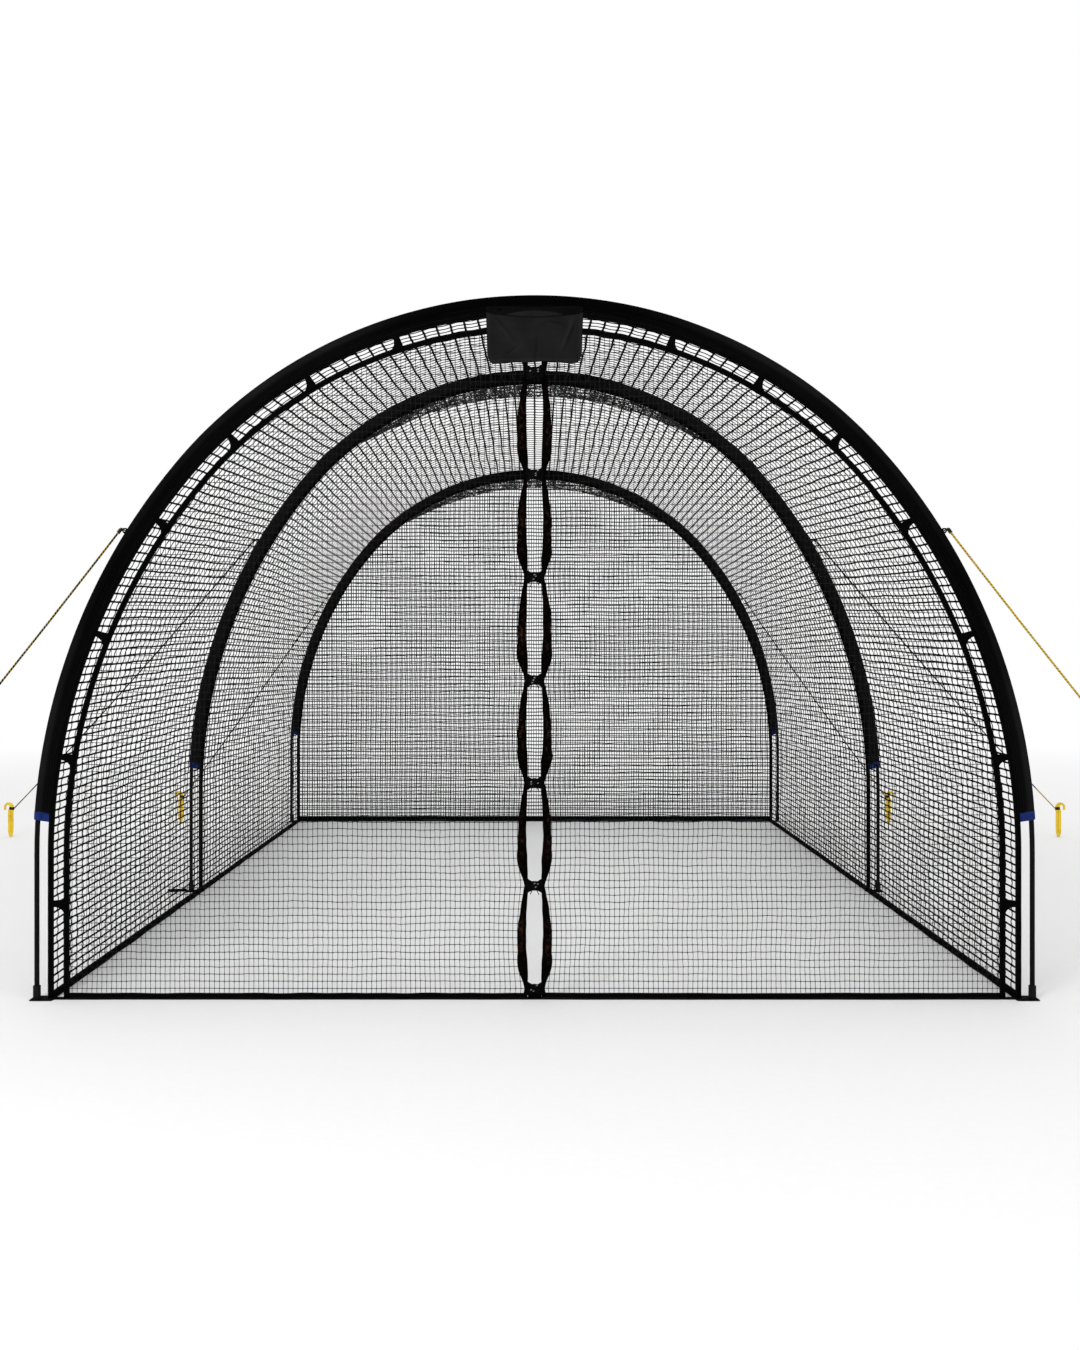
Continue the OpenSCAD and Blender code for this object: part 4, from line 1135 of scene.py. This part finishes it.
def guyRun(bow):
    return runAtAngle(bow, math.radians(guyForm.angle[bow.name]))


def addGuyTab(sewn, bow, side, form):
    run = guyRun(bow)
    angle = np.linspace(0, fullTurn, form.steps, endpoint=False)
    eye = np.stack([form.eyeAt + form.eye * np.cos(angle), form.eye * np.sin(angle)])
    ahead = np.clip(form.eyeAt + 0.048 * np.cos(angle), 0, form.long)
    aside = np.clip(form.half * 1.35 * np.sin(angle), -form.half, form.half)
    tip = ramp((ahead - form.eyeAt) / (form.long - form.eyeAt))
    rim = np.stack([ahead, aside * chord(1, 0.9 * tip)])
    loops = []
    for share, depth in guySection:
        out, over = between(eye, rim, share)
        loops.append(bowPlace(bow, side * (run + over), -form.foot - out, depth * form.thick / 2))
    around = np.linspace(0, 0.12, form.steps + 1)
    addRings(sewn.cloth, np.array(loops), np.linspace(0, 0.1, len(loops)), around, False)
    outward = unit(bowPlace(bow, side * run, -0.05) - bowPlace(bow, side * run, 0.0))
    out, face = (part.ravel() for part in np.meshgrid(np.arange(*form.stitched), (1, -1), indexing="ij"))
    for over in (-form.rowAt, form.rowAt):
        places = bowPlace(bow, side * (run + over), -form.foot - out, face * form.rowLift)
        addStitches(sewn.seams, places, outward, -face[:, None] * rearward, form.thread)


guyTabs = Sewn()
for bow, side in bowSides:
    addGuyTab(guyTabs, bow, side, guyForm)
guyTabs.make("guyTabTongues", "guyTabSeams", strapWebbing, "webbing_black", ["guy_tabs"])

# rope knots: a loop through each eye, and dark lashings round each peg's neck
knotForm = Form(cord=0.0024, loopWide=0.0052, loopMore=0.002, turns=4, turnsAt=0.003, turnsLong=0.017,
                wraps=4, wrapStep=0.0048, neck=(0.0145, 0.0085), neckIn=0.0155)


def addEyeKnot(shape, bow, side, start, toward, form):
    eye = bowPlace(bow, side * guyRun(bow), -guyForm.foot - guyForm.eyeAt)
    out = unit(start - eye)
    long = float(np.linalg.norm(start - eye)) / 2 + form.loopMore
    angle = np.linspace(0, fullTurn, 33)[:, None]
    ring = (eye + start) / 2 + out * (long * np.cos(angle)) + rearward * (form.loopWide * np.sin(angle))
    addCord(shape, ring, form.cord, 8, np.cross(out, rearward))
    pull = unit(toward - start)
    sideways = unit(np.cross(pull, (0, 1, 0.2)))
    t = np.linspace(0, 1, 90)[:, None]
    spin = fullTurn * form.turns * t
    spoke = np.cos(spin) * sideways + np.sin(spin) * np.cross(pull, sideways)
    coil = start + pull * (form.turnsAt + form.turnsLong * t)
    coil = coil + (ropeForm.diameter / 2 + form.cord * 0.6) * spoke
    addCord(shape, coil, form.cord * 0.8, 8, pull)


def addPegWrap(shape, end, side, form):
    t = np.linspace(0, 1, 140)
    spin = fullTurn * form.wraps * t
    deep, wide = form.neck
    box = np.maximum(np.abs(np.cos(spin)), np.abs(np.sin(spin))) ** 0.6
    climb = form.wrapStep * form.wraps * (t - 0.5)
    wrap = np.stack([side * (form.neckIn + deep * np.cos(spin) / box), wide * np.sin(spin) / box, climb], 1)
    addCord(shape, end + wrap, form.cord, 7, upward)


eyeKnots, pegWraps = Shape(), Shape()
for bow, side in bowSides:
    points = ropePoints(bow.name, side)
    addEyeKnot(eyeKnots, bow, side, points[0], points[1], knotForm)
    addPegWrap(pegWraps, points[-1], side, knotForm)
makePiece("eyeKnots", eyeKnots, knotCord)
makePiece("pegLashings", pegWraps, knotCord)
print("guy tabs and knots made")

# what stays as built: poles, pins, foot caps and pegs, with softened edges on the pegs
keptFinish = {"foot_caps": capRubber, "guy_pegs": pegPlastic}
for bow in bows:
    keptFinish[f"{bow.name}_leg_poles"] = poleSatin
    keptFinish[f"{bow.name}_bow_poles"] = poleSatin
    keptFinish[f"{bow.name}_pole_pins"] = pinSteel
for nodeName, material in keptFinish.items():
    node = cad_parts[nodeName]
    node.data.materials.clear()
    node.data.materials.append(material)
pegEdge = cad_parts["guy_pegs"].modifiers.new("softEdges", "BEVEL")
pegEdge.width = 0.0016
pegEdge.segments = 2
pegEdge.limit_method = "ANGLE"
pegEdge.angle_limit = math.radians(40)
print("kept nodes finished")

# pale floor, white surround and soft light
stageForm = Form(half=45.0, drop=0.0006, pale=0.80, mottle=0.012, near=5.0, far=13.0, sky=1.0)
# place, aim, size and power of each light
lights = Form(keyLight=((-3.5, -8.5, 6.0), (0, -1.5, 1.2), 1.8, 260),
              fillLight=((6.0, -6.0, 4.5), (0, 0, 1.2), 5.0, 60),
              rimLight=((1.0, 7.5, 6.0), (0, 0, 1.5), 5.0, 80))


# near the cage the floor takes shadows, far out it glows like the surround
def floorMaterial(form):
    material = finish("floorPaint", form.pale, form.pale + form.mottle, rough=0.875, shine=0.1, patch=40.0,
                      bump=0.0, spread=0.075)
    tree = material.node_tree
    reach = addNode(tree, "VectorMath", {0: addNode(tree, "TexCoord").outputs["Object"]})
    reach.operation = "LENGTH"
    fade = addNode(tree, "MapRange", {"Value": reach.outputs["Value"]},
                   {"From Min": form.near, "From Max": form.far})
    fade.interpolation_type = "SMOOTHSTEP"
    glow = addNode(tree, "Emission", {}, {"Strength": form.sky})
    paint = tree.nodes["Principled BSDF"].outputs["BSDF"]
    mix = addNode(tree, "MixShader", {"Fac": fade.outputs["Result"], 1: paint, 2: glow.outputs["Emission"]})
    tree.links.new(mix.outputs["Shader"], tree.nodes["Material Output"].inputs["Surface"])
    return material


def makeStage(form):
    mesh = bpy.data.meshes.new("floor")
    corners = [(-1, -1), (1, -1), (1, 1), (-1, 1)]
    mesh.from_pydata([(x * form.half, y * form.half, -form.drop) for x, y in corners], [], [(0, 1, 2, 3)])
    mesh.materials.append(floorMaterial(form))
    newObject("floor", mesh)
    scene.world = bpy.data.worlds.new("surround")
    scene.world.use_nodes = True
    sky = scene.world.node_tree.nodes["Background"]
    sky.inputs["Color"].default_value = (1, 1, 1, 1)
    sky.inputs["Strength"].default_value = form.sky


def makeLight(name, place, aim, size, power):
    data = bpy.data.lights.new(name, "AREA")
    data.size = size
    data.energy = power
    lamp = newObject(name, data)
    lamp.location = place
    x, y, z = np.array(aim) - np.array(place)
    lamp.rotation_euler = (math.atan2(math.hypot(x, y), -z), 0, math.atan2(y, x) - math.pi / 2)


makeStage(stageForm)
for name, look in lights.items():
    makeLight(name, *look)
print("stage made")
